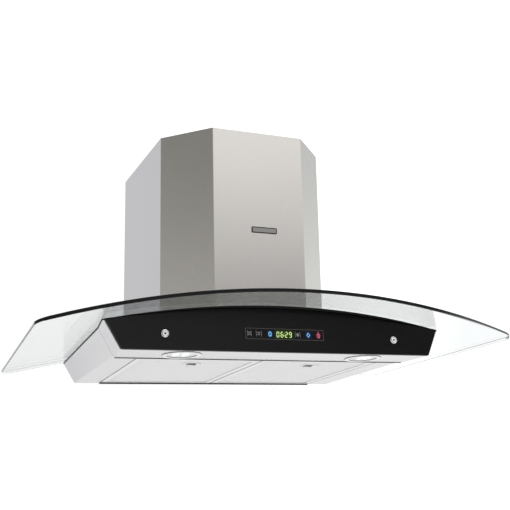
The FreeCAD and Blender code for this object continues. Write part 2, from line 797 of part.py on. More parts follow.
def volute():
    half = scroll_half_width
    top = box_top - sheet
    outer = scroll_face(scroll_wall, top).extrude(Vector(2 * half, 0, 0))
    outer.translate(Vector(-half, 0, 0))
    inner = scroll_face(0, top + 1).extrude(Vector(2 * (half - scroll_wall), 0, 0))
    inner.translate(Vector(-half + scroll_wall, 0, 0))
    shape = outer.cut(inner)
    shape = shape.cut(rod(-half - 1, -fan_from_wall, fan_up, inlet_radius, scroll_wall + 2, "x"))
    shape = shape.cut(rod(half - scroll_wall - 1, -fan_from_wall, fan_up, motor_hole_radius,
                          scroll_wall + 2, "x"))
    for y, z in motor_screw_places():
        shape = shape.cut(rod(half - scroll_wall - 1, y, z, motor_screw_radius, scroll_wall + 2, "x"))
    front = -fan_from_wall - scroll_radius - scroll_wall
    rims = [box(edge, edge + volute_flange, front, front + volute_flange_run, top - scroll_wall, top)
            for edge in (-half - volute_flange, half)]
    return shape.fuse(rims).removeSplitter()


def inlet_ring():
    x = -scroll_half_width
    flange = ring(x - inlet_ring_sheet, -fan_from_wall, fan_up, inlet_radius + inlet_ring_width,
                  inlet_radius - inlet_ring_sheet, inlet_ring_sheet, "x")
    throat = ring(x, -fan_from_wall, fan_up, inlet_radius, inlet_radius - inlet_ring_sheet,
                  inlet_ring_height - 1.0, "x")
    return flange.fuse(throat).removeSplitter()


def impeller():
    y, z = -fan_from_wall, fan_up
    half = impeller_half_width
    back = ring(half - impeller_disc, y, z, impeller_radius, shaft_radius, impeller_disc, "x")
    hub = ring(half - hub_length, y, z, hub_radius, shaft_radius, hub_length - impeller_disc, "x")
    rim = ring(-half, y, z, impeller_radius, impeller_radius - blade_depth, impeller_disc, "x")
    blade_radius = blade_depth * 0.9
    parts = [hub, rim]
    for index in range(blade_count):
        centre_y = -(impeller_radius - blade_depth / 2)
        arch = ring(-half + impeller_disc, centre_y - blade_radius * 0.55, 0, blade_radius,
                    blade_radius - blade_thickness, 2 * (half - impeller_disc), "x")
        keep = box(-half, half, -impeller_radius + 0.3, -impeller_radius + blade_depth - 0.3, 0, far / 10)
        blade = arch.common(keep)
        blade.rotate(Vector(0, 0, 0), Vector(1, 0, 0), 360 / blade_count * index)
        blade.translate(Vector(0, y, z))
        parts.append(blade)
    return back.fuse(parts).removeSplitter()


def motor_pieces():
    y, z = -fan_from_wall, fan_up
    start = scroll_half_width
    bore = shaft_radius + running_clearance
    casing = rod(start, y, z, motor_radius, motor_length, "x")
    casing = casing.makeFillet(motor_edge_round, [edge for edge in casing.Edges
                                                  if abs(edge.BoundBox.XMin - start - motor_length) < 0.01
                                                  and edge.BoundBox.XLength < 0.01])
    casing = casing.fuse(rod(start, y, z, motor_flange_radius, motor_flange_thickness, "x"))
    casing = casing.cut(rod(start + motor_wall, y, z, motor_radius - motor_wall,
                            motor_length - 2 * motor_wall, "x"))
    casing = casing.cut(rod(start - 1, y, z, bore, motor_length, "x")).removeSplitter()
    for screw_y, screw_z in motor_screw_places():
        casing = casing.cut(rod(start - 1, screw_y, screw_z, motor_screw_radius,
                                motor_flange_thickness + 2, "x"))
    middle = start + motor_length / 2
    stator = ring(middle - rotor_length / 2, y, z, motor_radius - motor_wall, rotor_radius + air_gap,
                  rotor_length, "x")
    rotor = ring(middle - rotor_length / 2, y, z, rotor_radius, shaft_radius, rotor_length, "x")
    shaft_end = start + motor_length - motor_wall / 2
    shaft_start = impeller_half_width - shaft_grip
    shaft = rod(shaft_start, y, z, shaft_radius, shaft_end - shaft_start, "x")
    screws = []
    for screw_y, screw_z in motor_screw_places():
        shank = rod(start - scroll_wall - 1.0, screw_y, screw_z, motor_screw_radius,
                    motor_flange_thickness + scroll_wall + 1.0, "x")
        head = rod(start + motor_flange_thickness, screw_y, screw_z, screw_head_radius,
                   screw_head_height, "x")
        screws.append(shank.fuse(head))
    return casing, stator, rotor, shaft, Part.makeCompound(screws)


# ---------------------------------------------------------------- outlet collar and flaps
def collar_pieces():
    y = collar_centre
    flange = ring(0, y, box_top, collar_radius + collar_flange, collar_radius - collar_wall,
                  collar_flange_thickness)
    tube = ring(0, y, box_top, collar_radius, collar_radius - collar_wall, collar_height)
    collar = tube.fuse(flange)
    screws = []
    for screw_x, screw_y in collar_screw_places():
        collar = collar.cut(rod(screw_x, screw_y, box_top - 1, screw_shank, 4))
        shank = rod(screw_x, screw_y, box_top - sheet - bolt_tail, screw_shank,
                    sheet + bolt_tail + collar_flange_thickness)
        head = rod(screw_x, screw_y, box_top + collar_flange_thickness, screw_head_radius,
                   screw_head_height)
        screws.append(shank.fuse(head))
    up = box_top + pin_up
    inner = collar_radius - collar_wall
    for side in (-1, 1):
        start = inner - boss_length if side > 0 else -inner - collar_wall
        boss = rod(start, y, up, boss_radius, boss_length + collar_wall, "x")
        collar = collar.fuse(boss)
    collar = collar.cut(rod(-collar_radius - 5, y, up, pin_radius, 2 * collar_radius + 10, "x"))
    outside = ring(0, y, box_top, collar_radius + 20, collar_radius, collar_height)
    outside.translate(Vector(0, 0, collar_flange_thickness))
    collar = collar.cut(outside).removeSplitter()
    reach = collar_radius - 0.2
    pin = rod(-reach, y, up, pin_radius, 2 * reach, "x")
    return collar, Part.makeCompound(screws), pin


def damper_flap(front):
    """Half a disc with two knuckles on the pin. The other flap's knuckles stand between them."""
    y = collar_centre
    up = box_top + pin_up
    radius = collar_radius - collar_wall - flap_clearance
    disc = rod(0, y, up - flap_thickness / 2, radius, flap_thickness)
    edge = pin_radius + 0.6
    half = box(-far, far, y - far, y - edge, up - 10, up + 10)
    if not front:
        half = box(-far, far, y + edge, y + far, up - 10, up + 10)
    flap = disc.common(half)
    bore = pin_radius + running_clearance
    inner_reach = collar_radius - collar_wall - boss_length - knuckle_gap
    front_places = (-inner_reach, knuckle_offset)
    rear_places = (-inner_reach + knuckle_length + knuckle_gap, inner_reach - knuckle_length)
    own, other = (front_places, rear_places) if front else (rear_places, front_places)
    for start in own:
        flap = flap.fuse(rod(start, y, up, knuckle_radius, knuckle_length, "x"))
        flap = flap.cut(rod(start - 1, y, up, bore, knuckle_length + 2, "x"))
    # leave room for the boss at each end and for the other flap's knuckles
    room = knuckle_radius + knuckle_gap
    for start in other:
        flap = flap.cut(rod(start - knuckle_gap, y, up, room, knuckle_length + 2 * knuckle_gap, "x"))
    for start in (-collar_radius, inner_reach):
        flap = flap.cut(rod(start, y, up, boss_radius + knuckle_gap, collar_radius - inner_reach, "x"))
    return flap.removeSplitter()


# ---------------------------------------------------------------- electrics
def electric_pieces():
    side = box_half_width
    back = -control_box_from_wall
    front = back - control_box_depth
    top = control_box_up + control_box_height
    case = rounded_box(side, side + control_box_width, front, back, control_box_up, top,
                       control_box_corner)
    wall = control_box_wall
    case = case.cut(box(side + wall, side + control_box_width - wall, front + wall, back - wall,
                        control_box_up + wall, top - wall))
    gland_y = back - gland_setback
    gland_x = side + control_box_width / 2
    case = case.cut(rod(gland_x, gland_y, top - wall - 1, gland_radius, wall + 2))
    gland = ring(gland_x, gland_y, top - gland_inside, gland_radius, gland_bore, gland_length)
    nut = hexagon(gland_x, gland_y, top, gland_radius + gland_nut_grip, gland_nut_height)
    nut = nut.cut(rod(gland_x, gland_y, top, gland_bore, gland_nut_height))
    gland = gland.fuse(nut).removeSplitter()
    can_x = -side - capacitor_radius - clip_thickness
    can_z = control_box_up + capacitor_radius
    can = rod(can_x, back - capacitor_length, can_z, capacitor_radius, capacitor_length, "y")
    clip_y = back - (capacitor_length + clip_width) / 2
    clip = rod(can_x, clip_y, can_z, capacitor_radius + clip_thickness, clip_width, "y")
    clip = clip.fuse(box(-side - clip_thickness, -side, clip_y, clip_y + clip_width,
                         can_z, can_z + clip_tab))
    return case, gland, can, clip.cut(can).removeSplitter()


def build():
    os.makedirs("parts", exist_ok=True)
    save("glass_canopy", canopy(glass_canopy()))
    save("glass_gasket", canopy(gasket()))
    bolts, washers, nuts = glass_bolts()
    save("glass_bolts", canopy(bolts))
    save("glass_washers", canopy(washers))
    save("glass_nuts", canopy(nuts))
    body = body_pieces()
    save_pair("side_panel", canopy(body.pop("side_panel")))
    for node, shape in body.items():
        save(node, canopy(shape))
    save("centre_rail", canopy(centre_rail()))
    frame, strip = fascia_pieces()
    save("fascia_frame", canopy(frame))
    save("lamp_strip", canopy(strip))
    save("control_panel", canopy(control_panel()))
    screws, nuts = panel_screws()
    save("panel_screws", canopy(screws))
    save("panel_nuts", canopy(nuts))
    module, board, cover = display_pieces()
    save("display_module", canopy(module))
    save("control_board", canopy(board))
    save("board_cover", canopy(cover))
    for pieces in (lamp_pieces(), filter_pieces()):
        for node, shape in pieces.items():
            save_pair(node, canopy(shape))
    cover, plate, bracket, nuts = chimney_pieces()
    save("chimney_cover", cover)
    save("name_plate", plate)
    save_pair("chimney_bracket", bracket)
    save("chimney_nuts", nuts)
    save("wall_mount", wall_mount())
    save("blower_box", blower_box())
    save("volute", volute())
    save("inlet_ring", inlet_ring())
    save("impeller", impeller())
    casing, stator, rotor, shaft, screws = motor_pieces()
    save("motor_casing", casing)
    save("motor_stator", stator)
    save("motor_rotor", rotor)
    save("motor_shaft", shaft)
    save("motor_screws", screws)
    collar, screws, pin = collar_pieces()
    save("outlet_collar", collar)
    save("collar_screws", screws)
    save("damper_pin", pin)
    save("damper_front", damper_flap(True))
    save("damper_rear", damper_flap(False))
    case, gland, capacitor, clip = electric_pieces()
    save("control_box", case)
    save("cable_gland", gland)
    save("capacitor", capacitor)
    save("capacitor_clip", clip)


build()
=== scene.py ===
"""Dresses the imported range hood: the studio, the finishes and the pieces too fine for the CAD."""

import math

import bmesh
import bpy
from mathutils import Matrix, Vector


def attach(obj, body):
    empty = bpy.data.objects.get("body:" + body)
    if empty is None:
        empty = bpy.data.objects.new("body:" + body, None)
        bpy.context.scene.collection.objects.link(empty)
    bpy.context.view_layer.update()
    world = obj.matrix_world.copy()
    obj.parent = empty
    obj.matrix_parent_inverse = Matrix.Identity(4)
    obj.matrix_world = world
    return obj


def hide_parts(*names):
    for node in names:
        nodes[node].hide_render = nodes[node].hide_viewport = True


bl_info = {
    "name": "Curved glass range hood",
    "version": (1, 0, 0),
    "blender": (4, 5, 0),
    "location": "3D View > Sidebar > Range Hood",
    "description": "Dresses the packed range hood with its finishes and fine pieces",
    "category": "Object",
}

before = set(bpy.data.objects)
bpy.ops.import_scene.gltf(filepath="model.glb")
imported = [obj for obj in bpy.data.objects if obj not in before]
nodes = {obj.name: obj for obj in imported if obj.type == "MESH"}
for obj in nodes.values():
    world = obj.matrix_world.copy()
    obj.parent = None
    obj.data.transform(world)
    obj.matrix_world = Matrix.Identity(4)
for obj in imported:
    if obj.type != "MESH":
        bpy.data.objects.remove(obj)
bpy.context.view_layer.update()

MM = 0.001
CANOPY_LEAN = 3.7
PANEL_LEAN = 6.28
PANEL_FRONT = 441 * MM
STRIP_FACE = -3 * MM

# The canopy's own frame: x, backwards from the underside's rear edge, up. Its front hangs higher.
CANOPY = (Matrix.Translation((0, -74.7 * MM, -250 * MM))
          @ Matrix.Rotation(math.radians(-CANOPY_LEAN), 4, "X"))
# The control panel's face: x, up the panel from its bottom edge, out towards the cook.
PANEL_FACE = (CANOPY @ Matrix.Translation((0, -PANEL_FRONT, STRIP_FACE))
              @ Matrix.Rotation(math.radians(90 - PANEL_LEAN), 4, "X"))

# The glass: its front edge is an arc in plan, and its underside an arch whose crown is at GLASS_CROWN.
GLASS_FRONT = 554.5 * MM
GLASS_ARC_RADIUS = 2376.1 * MM
GLASS_BEND_RADIUS = 1750 * MM
GLASS_CROWN = 80.3 * MM
GLASS_THICKNESS = 6 * MM

# Where the body's side sheets meet the fascia, and the lip along the control panel's top.
BODY_SEAM = 352 * MM
LIP_HALF = 308 * MM
LIP_REACH = 17 * MM
LIP_THICKNESS = 0.6 * MM
LIP_GAP = 0.5 * MM

# Middles of the lamps, cap screws, pulls and plate.
LAMP_X = 182 * MM
LAMP_Y = -392 * MM
CAP_SCREW_X = 225.5 * MM
CAP_SCREW_UP = 28.2 * MM
CUP_X = 124.25 * MM
CUP_Y = -271 * MM
PULL_SLOT_Y = -266 * MM
PLATE_X = 9.7 * MM
PLATE_Z = 30 * MM

# Distances up the panel, in millimetres.
CLOCK_MIDDLE = 32.8
MARK_MIDDLE = 33.6
MARK_LIFT = 0.03

# The room's light by compass direction: degrees from straight back, clockwise from above, and a colour.
LOW_WALLS = (
    (-180, 0.30, 0.29, 0.28), (-140, 0.34, 0.33, 0.31), (-106, 0.48, 0.467, 0.44),
    (-72, 0.52, 0.515, 0.51), (-42, 0.66, 0.655, 0.69), (-10, 0.66, 0.655, 0.69),
    (6, 1.0, 1.0, 1.0), (38, 1.0, 1.0, 1.0), (60, 0.80, 0.81, 0.80), (95, 0.80, 0.80, 0.80),
    (130, 0.45, 0.44, 0.43), (157, 0.26, 0.25, 0.245), (180, 0.30, 0.29, 0.28))
HIGH_WALLS = (
    (-180, 0.92, 0.90, 0.88), (-140, 0.42, 0.41, 0.385), (-106, 0.17, 0.165, 0.145),
    (-72, 0.40, 0.395, 0.39), (-42, 0.66, 0.655, 0.70), (-10, 0.66, 0.655, 0.70),
    (6, 0.95, 0.95, 0.95), (38, 0.85, 0.85, 0.85), (60, 0.60, 0.61, 0.60), (95, 0.70, 0.70, 0.70),
    (130, 1.02, 1.0, 0.98), (157, 1.10, 1.08, 1.06), (180, 0.92, 0.90, 0.88))
BACKDROP = (
    (-180, 1.0, 1.0, 1.0), (2, 1.0, 1.0, 1.0), (8, 1.1, 1.1, 1.1), (10.5, 1.0, 1.0, 1.0),
    (20, 1.3, 1.3, 1.3), (29, 1.48, 1.47, 1.46), (33, 1.44, 1.43, 1.42), (36, 1.1, 1.1, 1.1),
    (60, 1.0, 1.0, 1.0))
DOME_LIGHT = (0.85, 0.85, 0.85)
LIGHT_FROM_BELOW = (0.80, 0.80, 0.80)


# ------------------------------------------------------------------ node trees
class Value:
    """An output of a node. Sums written on it add Math nodes."""

    def __init__(self, tree, socket):
        self.tree = tree
        self.socket = socket

    def maths(self, operation, *terms):
        return self.tree.add("ShaderNodeMath", {"operation": operation}, dict(enumerate(terms)))

    def __add__(self, other):
        return self.maths("ADD", self, other)

    def __sub__(self, other):
        return self.maths("SUBTRACT", self, other)

    def __rsub__(self, other):
        return self.maths("SUBTRACT", other, self)

    def __mul__(self, other):
        return self.maths("MULTIPLY", self, other)

    def __truediv__(self, other):
        return self.maths("DIVIDE", self, other)

    def __pow__(self, other):
        return self.maths("POWER", self, other)

    def __abs__(self):
        return self.maths("ABSOLUTE", self)

    __radd__ = __add__
    __rmul__ = __mul__

    def ramped(self, low, high):
        """0 below low, 1 above high, smooth between them."""
        return self.tree.add("ShaderNodeMapRange", {"interpolation_type": "SMOOTHSTEP"},
                             {"Value": self, "From Min": low, "From Max": high})


class Tree:
    """The nodes of a material or of the world."""

    def __init__(self, owner):
        owner.use_nodes = True
        self.owner = owner
        self.nodes = owner.node_tree.nodes
        self.links = owner.node_tree.links

    def add(self, kind, settings=None, sockets=None, output=0):
        node = self.nodes.new(kind)
        for name, value in (settings or {}).items():
            if name == "stops":
                self.set_stops(node.color_ramp, value)
            else:
                setattr(node, name, value)
        for name, value in (sockets or {}).items():
            self.feed(node.inputs[name], value)
        return Value(self, node.outputs[output])

    def feed(self, socket, value):
        if isinstance(value, Value):
            self.links.new(value.socket, socket)
        else:
            socket.default_value = value

    def set_stops(self, ramp, stops):
        while len(ramp.elements) < len(stops):
            ramp.elements.new(0.5)
        for element, (place, colour) in zip(ramp.elements, stops):
            element.position = place
            element.color = (*colour, 1.0)

    def mixed(self, factor, first, second):
        return self.add("ShaderNodeMix", {"data_type": "RGBA"},
                        {0: factor, 6: (*first, 1.0) if isinstance(first, tuple) else first,
                         7: (*second, 1.0) if isinstance(second, tuple) else second}, output=2)


class Finish(Tree):
    """A material with one Principled shader."""

    def __init__(self, name, constants):
        super().__init__(bpy.data.materials.new(name))
        self.shader = self.nodes["Principled BSDF"]
        self.set(constants)

    def set(self, values):
        for name, value in values.items():
            if isinstance(value, tuple) and len(value) == 3 and "Color" in name:
                value = (*value, 1.0)
            self.feed(self.shader.inputs[name], value)

    def place(self):
        """Where a point of the surface is, in metres."""
        return self.add("ShaderNodeTexCoord", output="Object")

    def stretched(self, scale, turn=(0, 0, 0)):
        return self.add("ShaderNodeMapping", None,
                        {"Vector": self.place(), "Rotation": turn, "Scale": scale})

    def noise(self, scale, detail=3.0, turn=(0, 0, 0)):
        return self.add("ShaderNodeTexNoise", None,
                        {"Vector": self.stretched(scale, turn), "Scale": 1.0, "Detail": detail},
                        output="Fac")

    def placed_in(self, place):
        """Where a point of the surface is in another frame."""
        back = place.inverted()
        return self.add("ShaderNodeMapping", None, {"Vector": self.place(), "Location": back.translation,
                                                    "Rotation": back.to_euler()})

    def split(self, vector):
        split = self.nodes.new("ShaderNodeSeparateXYZ")
        self.links.new(vector.socket, split.inputs[0])
        return [Value(self, socket) for socket in split.outputs]

    def axes(self):
        return self.split(self.place())

    def at_least_zero(self, value):
        return value.maths("MAXIMUM", value, 0.0)

    def bumped(self, height, strength, depth):
        self.set({"Normal": self.add("ShaderNodeBump", None,
                                     {"Height": height, "Strength": strength, "Distance": depth})})


def shaded(colour, amount):
    return tuple(channel * amount for channel in colour)


def brushed(name, colour, roughness, grain_scale, turn=(0, 0, 0)):
    """Stainless sheet: fine scratches one way, faint smears and a little unevenness in the rolling."""
    finish = Finish(name, {"Metallic": 1.0})
    grain = finish.noise(grain_scale, 4.0, turn)
    smear = finish.noise((7, 7, 7), 2.0)
    roll = finish.noise((1.7, 1.7, 1.7), 1.0)
    finish.sheet = finish.mixed(grain.ramped(0.25, 0.75), shaded(colour, 0.965), colour)
    finish.set({"Base Color": finish.sheet,
                "Roughness": grain * 0.05 + smear * 0.07 + (roughness - 0.06)})
    finish.bumped(grain * 0.6 + roll * 2.5, 0.12, 0.0004)
    return finish


def galvanised(name, colour):
    """Zinc-plated sheet with its pale crystal pattern."""
    finish = Finish(name, {"Metallic": 1.0})
    crystal = finish.add("ShaderNodeTexVoronoi", {"feature": "F1"},
                         {"Vector": finish.stretched((90, 90, 90)), "Scale": 1.0}, output="Color")
    tone = finish.add("ShaderNodeRGBToBW", None, {0: crystal})
    cloud = finish.noise((14, 14, 14), 3.0)
    finish.set({"Base Color": finish.mixed(tone * 0.7 + cloud * 0.3, shaded(colour, 0.96), colour),
                "Roughness": tone * 0.14 + 0.3})
    finish.bumped(cloud, 0.15, 0.0005)
    return finish.owner


def moulded(name, colour, roughness):
    """Moulded plastic with a fine spark-eroded grain."""
    finish = Finish(name, {"Specular IOR Level": 0.45})
    grain = finish.noise((1800, 1800, 1800), 2.0)
    tone = finish.noise((9, 9, 9), 2.0)
    finish.set({"Base Color": finish.mixed(tone, shaded(colour, 0.9), shaded(colour, 1.06)),
                "Roughness": tone * 0.1 + (roughness - 0.05)})
    finish.bumped(grain, 0.25, 0.0001)
    return finish.owner


def polished(name, colour, roughness):
    """Plated or turned metal, bright, with light handling marks."""
    finish = Finish(name, {"Metallic": 1.0})
    rub = finish.noise((160, 160, 160), 3.0)
    finish.set({"Base Color": finish.mixed(rub, shaded(colour, 0.93), colour),
                "Roughness": rub * 0.08 + roughness})
    return finish.owner


def dress(material, *names):
    for name in names:
        for slot in nodes[name].material_slots:
            slot.material = material


def above_arch(finish):
    """How far a point of the surface is above the arch of the glass's underside."""
    x, _, up = finish.split(finish.placed_in(CANOPY))
    height = up - (GLASS_CROWN - GLASS_BEND_RADIUS)
    return (x * x + height * height) ** 0.5 - GLASS_BEND_RADIUS


def pair(name):
    return name + "_left", name + "_right"


# ------------------------------------------------------------------ mesh making
def piece(name, bm, material, body, smooth=True, replaces=()):
    """Makes a finished mesh an object that rides on a body."""
    mesh = bpy.data.meshes.new(name)
    bm.to_mesh(mesh)
    bm.free()
    for poly in mesh.polygons:
        poly.use_smooth = smooth
    for each in material if isinstance(material, (list, tuple)) else [material]:
        mesh.materials.append(each)
    made = bpy.data.objects.new(name, mesh)
    bpy.context.scene.collection.objects.link(made)
    if replaces:
        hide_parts(*replaces)
    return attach(made, body)


def crease(made, degrees=30):
    """Sharp edges where faces meet steeply, smooth elsewhere."""
    bm = bmesh.new()
    bm.from_mesh(made.data)
    for edge in bm.edges:
        edge.smooth = not (len(edge.link_faces) == 2 and edge.calc_face_angle() > math.radians(degrees))
    bm.to_mesh(made.data)
    bm.free()
    return made


def turned(bm, profile, place, steps=48):
    """Spins (radius, height) points round the local Z axis into a closed turned part."""
    corners = [bm.verts.new((radius * MM, 0, height * MM)) for radius, height in profile]
    edges = [bm.edges.new(pair_of) for pair_of in zip(corners, corners[1:])]
    bmesh.ops.spin(bm, geom=corners + edges, cent=(0, 0, 0), axis=(0, 0, 1), angle=math.tau,
                   steps=steps, use_merge=True, use_normal_flip=False, use_duplicate=False)
    everything = set(corners)
    grown = True
    while grown:
        near = {edge.other_vert(vert) for vert in everything for edge in vert.link_edges}
        grown = not near <= everything
        everything |= near
    everything = list(everything)
    bmesh.ops.remove_doubles(bm, verts=everything, dist=1e-6)
    everything = [vert for vert in everything if vert.is_valid]
    faces = list({face for vert in everything for face in vert.link_faces})
    bmesh.ops.recalc_face_normals(bm, faces=faces)
    bmesh.ops.transform(bm, matrix=place, verts=everything)


def tile(bm, corners, width, height, x, y, place, thickness=0.05, slant=0.0, turn=0.0, lift=0.0):
    """A thin flat mark: a many-sided shape drawn width by height, laid at (x, y) on a face."""
    made = bmesh.ops.create_circle(bm, cap_ends=True, segments=corners, radius=0.5)
    verts = made["verts"]
    bmesh.ops.rotate(bm, verts=verts, cent=(0, 0, 0), matrix=Matrix.Rotation(turn, 3, "Z"))
    bmesh.ops.scale(bm, vec=(width * MM, height * MM, 1), verts=verts)
    face = verts[0].link_faces[0]
    grown = bmesh.ops.extrude_face_region(bm, geom=[face])
    top = [item for item in grown["geom"] if isinstance(item, bmesh.types.BMVert)]
    bmesh.ops.translate(bm, verts=top, vec=(0, 0, thickness * MM))
    verts = list(set(verts) | set(top))
    faces = list({face for vert in verts for face in vert.link_faces})
    bmesh.ops.recalc_face_normals(bm, faces=faces)
    lean = Matrix.Identity(4)
    lean[0][1] = slant
    spot = Matrix.Translation((x * MM, y * MM, lift * MM)) @ lean
    bmesh.ops.transform(bm, matrix=place @ spot, verts=verts)


# ------------------------------------------------------------------ settings
class StudioSettings(bpy.types.PropertyGroup):
    floor_height: bpy.props.FloatProperty(
        name="Floor height", description="Height of the floor under the wall holes' centre",
        default=-1.4, unit="LENGTH")
    floor_colour: bpy.props.FloatVectorProperty(
        name="Floor colour", description="Colour of the plain pale floor",
        default=(0.62, 0.62, 0.62), size=3, subtype="COLOR", min=0, max=1)
    room_light: bpy.props.FloatProperty(
        name="Room light", description="Strength of the soft light from all round", default=1.0, min=0)


class SteelSettings(bpy.types.PropertyGroup):
    body_colour: bpy.props.FloatVectorProperty(
        name="Body colour", description="Colour of the body's stainless sheet",
        default=(0.80, 0.80, 0.81), size=3, subtype="COLOR", min=0, max=1)
    chimney_colour: bpy.props.FloatVectorProperty(
        name="Chimney colour", description="Colour of the chimney's stainless sheet",
        default=(0.76, 0.75, 0.73), size=3, subtype="COLOR", min=0, max=1)


class GlassSettings(bpy.types.PropertyGroup):
    tint: bpy.props.FloatVectorProperty(
        name="Tint", description="What one surface of the glass lets through",
        default=(0.955, 0.97, 0.97), size=3, subtype="COLOR", min=0, max=1)
    # painted shade: the near-black that the polished front edge shows by reflecting the inside of the
    # glass
    painted_dark_edge_colour: bpy.props.FloatVectorProperty(
        name="Edge colour", description="Colour of the polished front edge",
        default=(0.008, 0.009, 0.009), size=3, subtype="COLOR", min=0, max=1)


class PanelSettings(bpy.types.PropertyGroup):
    digit_height: bpy.props.FloatProperty(
        name="Digit height", description="Height of the clock's digits", default=9.6 * MM, unit="LENGTH")
    digit_slant: bpy.props.FloatProperty(
        name="Digit slant", description="Sideways lean of the digits for each unit of height", default=0.1)
    digit_colour: bpy.props.FloatVectorProperty(
        name="Digit colour", description="Light of the clock's digits",
        default=(0.78, 1.0, 0.36), size=3, subtype="COLOR", min=0, max=1)


class LampSettings(bpy.types.PropertyGroup):
    facets: bpy.props.IntProperty(
        name="Facets", description="Facets round the reflector", default=40, min=12)
    bulb_light: bpy.props.FloatProperty(
        name="Bulb light", description="Light of the bulb's glass", default=2.0, min=0)


class MeshSettings(bpy.types.PropertyGroup):
    diamond_length: bpy.props.FloatProperty(
        name="Diamond length", description="Length of an opening of the expanded mesh",
        default=9.0 * MM, unit="LENGTH")
    diamond_width: bpy.props.FloatProperty(
        name="Diamond width", description="Width of an opening of the expanded mesh",
        default=4.6 * MM, unit="LENGTH")


# ------------------------------------------------------------------ stage
class HOOD_OT_studio(bpy.types.Operator):
    """Sets the camera, the floor and the soft light round the hood"""

    bl_idname = "hood.studio"
    bl_label = "Studio"

    def execute(self, context):
        self.camera(context)
        self.floor(context)
        self.light(context)
        context.scene.view_settings.view_transform = "Standard"
        return {"FINISHED"}

    def camera(self, context):
        yaw, pitch, roll = 0.391315, 0.221773, -0.0218215
        forward = Vector((math.sin(yaw) * math.cos(pitch), math.cos(yaw) * math.cos(pitch),
                          math.sin(pitch)))
        right = Vector((math.cos(yaw), -math.sin(yaw), 0))
        up = right.cross(forward)
        across = right * math.cos(roll) + up * math.sin(roll)
        upwards = up * math.cos(roll) - right * math.sin(roll)
        view = bpy.data.cameras.new("view")
        view.sensor_width = 36.0
        view.lens = 57.84
        view.clip_end = 200
        held = bpy.data.objects.new("view", view)
        turned_view = Matrix((across, upwards, -forward)).transposed().to_4x4()
        held.matrix_world = Matrix.Translation((-0.61177, -1.85666, -0.37656)) @ turned_view
        context.scene.collection.objects.link(held)
        context.scene.camera = held

    def floor(self, context):
        settings = context.scene.hood_studio
        finish = Finish("floor_paint", {"Specular IOR Level": 0.2, "Emission Strength": 1.0,
                                        "Roughness": 0.8})
        x, y = finish.axes()[:2]
        tone = finish.noise((0.6, 0.6, 0.6), 2.0)
        colour = tuple(settings.floor_colour)
        # painted light: the floor's glow is brighter towards the right, a painted pool of soft light from
        # that side
        across = (x * 0.92 - y * 0.38).ramped(-1.2, 3.4)
        finish.set({"Base Color": finish.mixed(tone, shaded(colour, 0.985), colour),
                    "Emission Color": finish.mixed(across, (0.33, 0.33, 0.33), (0.50, 0.50, 0.50))})
        bm = bmesh.new()
        bmesh.ops.create_circle(bm, cap_ends=True, segments=96, radius=10.5)
        bmesh.ops.translate(bm, verts=bm.verts, vec=(0, 0, settings.floor_height))
        mesh = bpy.data.meshes.new("floor")
        bm.to_mesh(mesh)
        bm.free()
        mesh.materials.append(finish.owner)
        floor = bpy.data.objects.new("floor", mesh)
        context.scene.collection.objects.link(floor)

    def light(self, context):
        settings = context.scene.hood_studio
        world = bpy.data.worlds.new("studio")
        context.scene.world = world
        tree = Tree(world)
        tree.nodes.clear()
        split = tree.nodes.new("ShaderNodeSeparateXYZ")
        way = tree.add("ShaderNodeTexCoord", output="Generated")
        tree.links.new(way.socket, split.inputs[0])
        x, y, z = [Value(tree, socket) for socket in split.outputs]
        round_about = x.maths("ARCTAN2", x, y) / math.tau + 0.5
        low = self.ring(tree, round_about, LOW_WALLS)
        high = self.ring(tree, round_about, HIGH_WALLS)
        walls = tree.mixed(z.ramped(0.12, 0.36), low, high)
        dome = tree.mixed(z.ramped(0.45, 0.85), walls, DOME_LIGHT)
        all_round = tree.mixed(z.ramped(-0.16, 0.02), LIGHT_FROM_BELOW, dome)
        seen = tree.add("ShaderNodeLightPath", output="Is Camera Ray")
        room = tree.add("ShaderNodeBackground", None,
                        {"Color": all_round, "Strength": settings.room_light})
        backdrop = self.ring(tree, round_about, BACKDROP)
        white = tree.add("ShaderNodeBackground", None, {"Color": backdrop, "Strength": 1.0})
        both = tree.add("ShaderNodeMixShader", None, {0: seen, 1: room, 2: white})
        out = tree.nodes.new("ShaderNodeOutputWorld")
        tree.links.new(both.socket, out.inputs["Surface"])
        self.soft_box(context, place=(0.4, -1.2, 3.2), aim=(0, -0.3, 0), size=2.4, power=30)

    def ring(self, tree, round_about, shades):
        """Colours that blend into one another round the compass."""
        stops = [(0.5 + turn / 360, tuple(shade)) for turn, *shade in shades]
        return tree.add("ShaderNodeValToRGB", {"stops": stops}, {0: round_about})

    def soft_box(self, context, place, aim, size, power):
        lamp = bpy.data.lights.new("soft_box", "AREA")
        lamp.shape = "SQUARE"
        lamp.size = size
        lamp.energy = power
        box = bpy.data.objects.new("soft_box", lamp)
        box.location = place
        box.rotation_euler = (Vector(aim) - Vector(place)).to_track_quat("-Z", "Y").to_euler()
        context.scene.collection.objects.link(box)


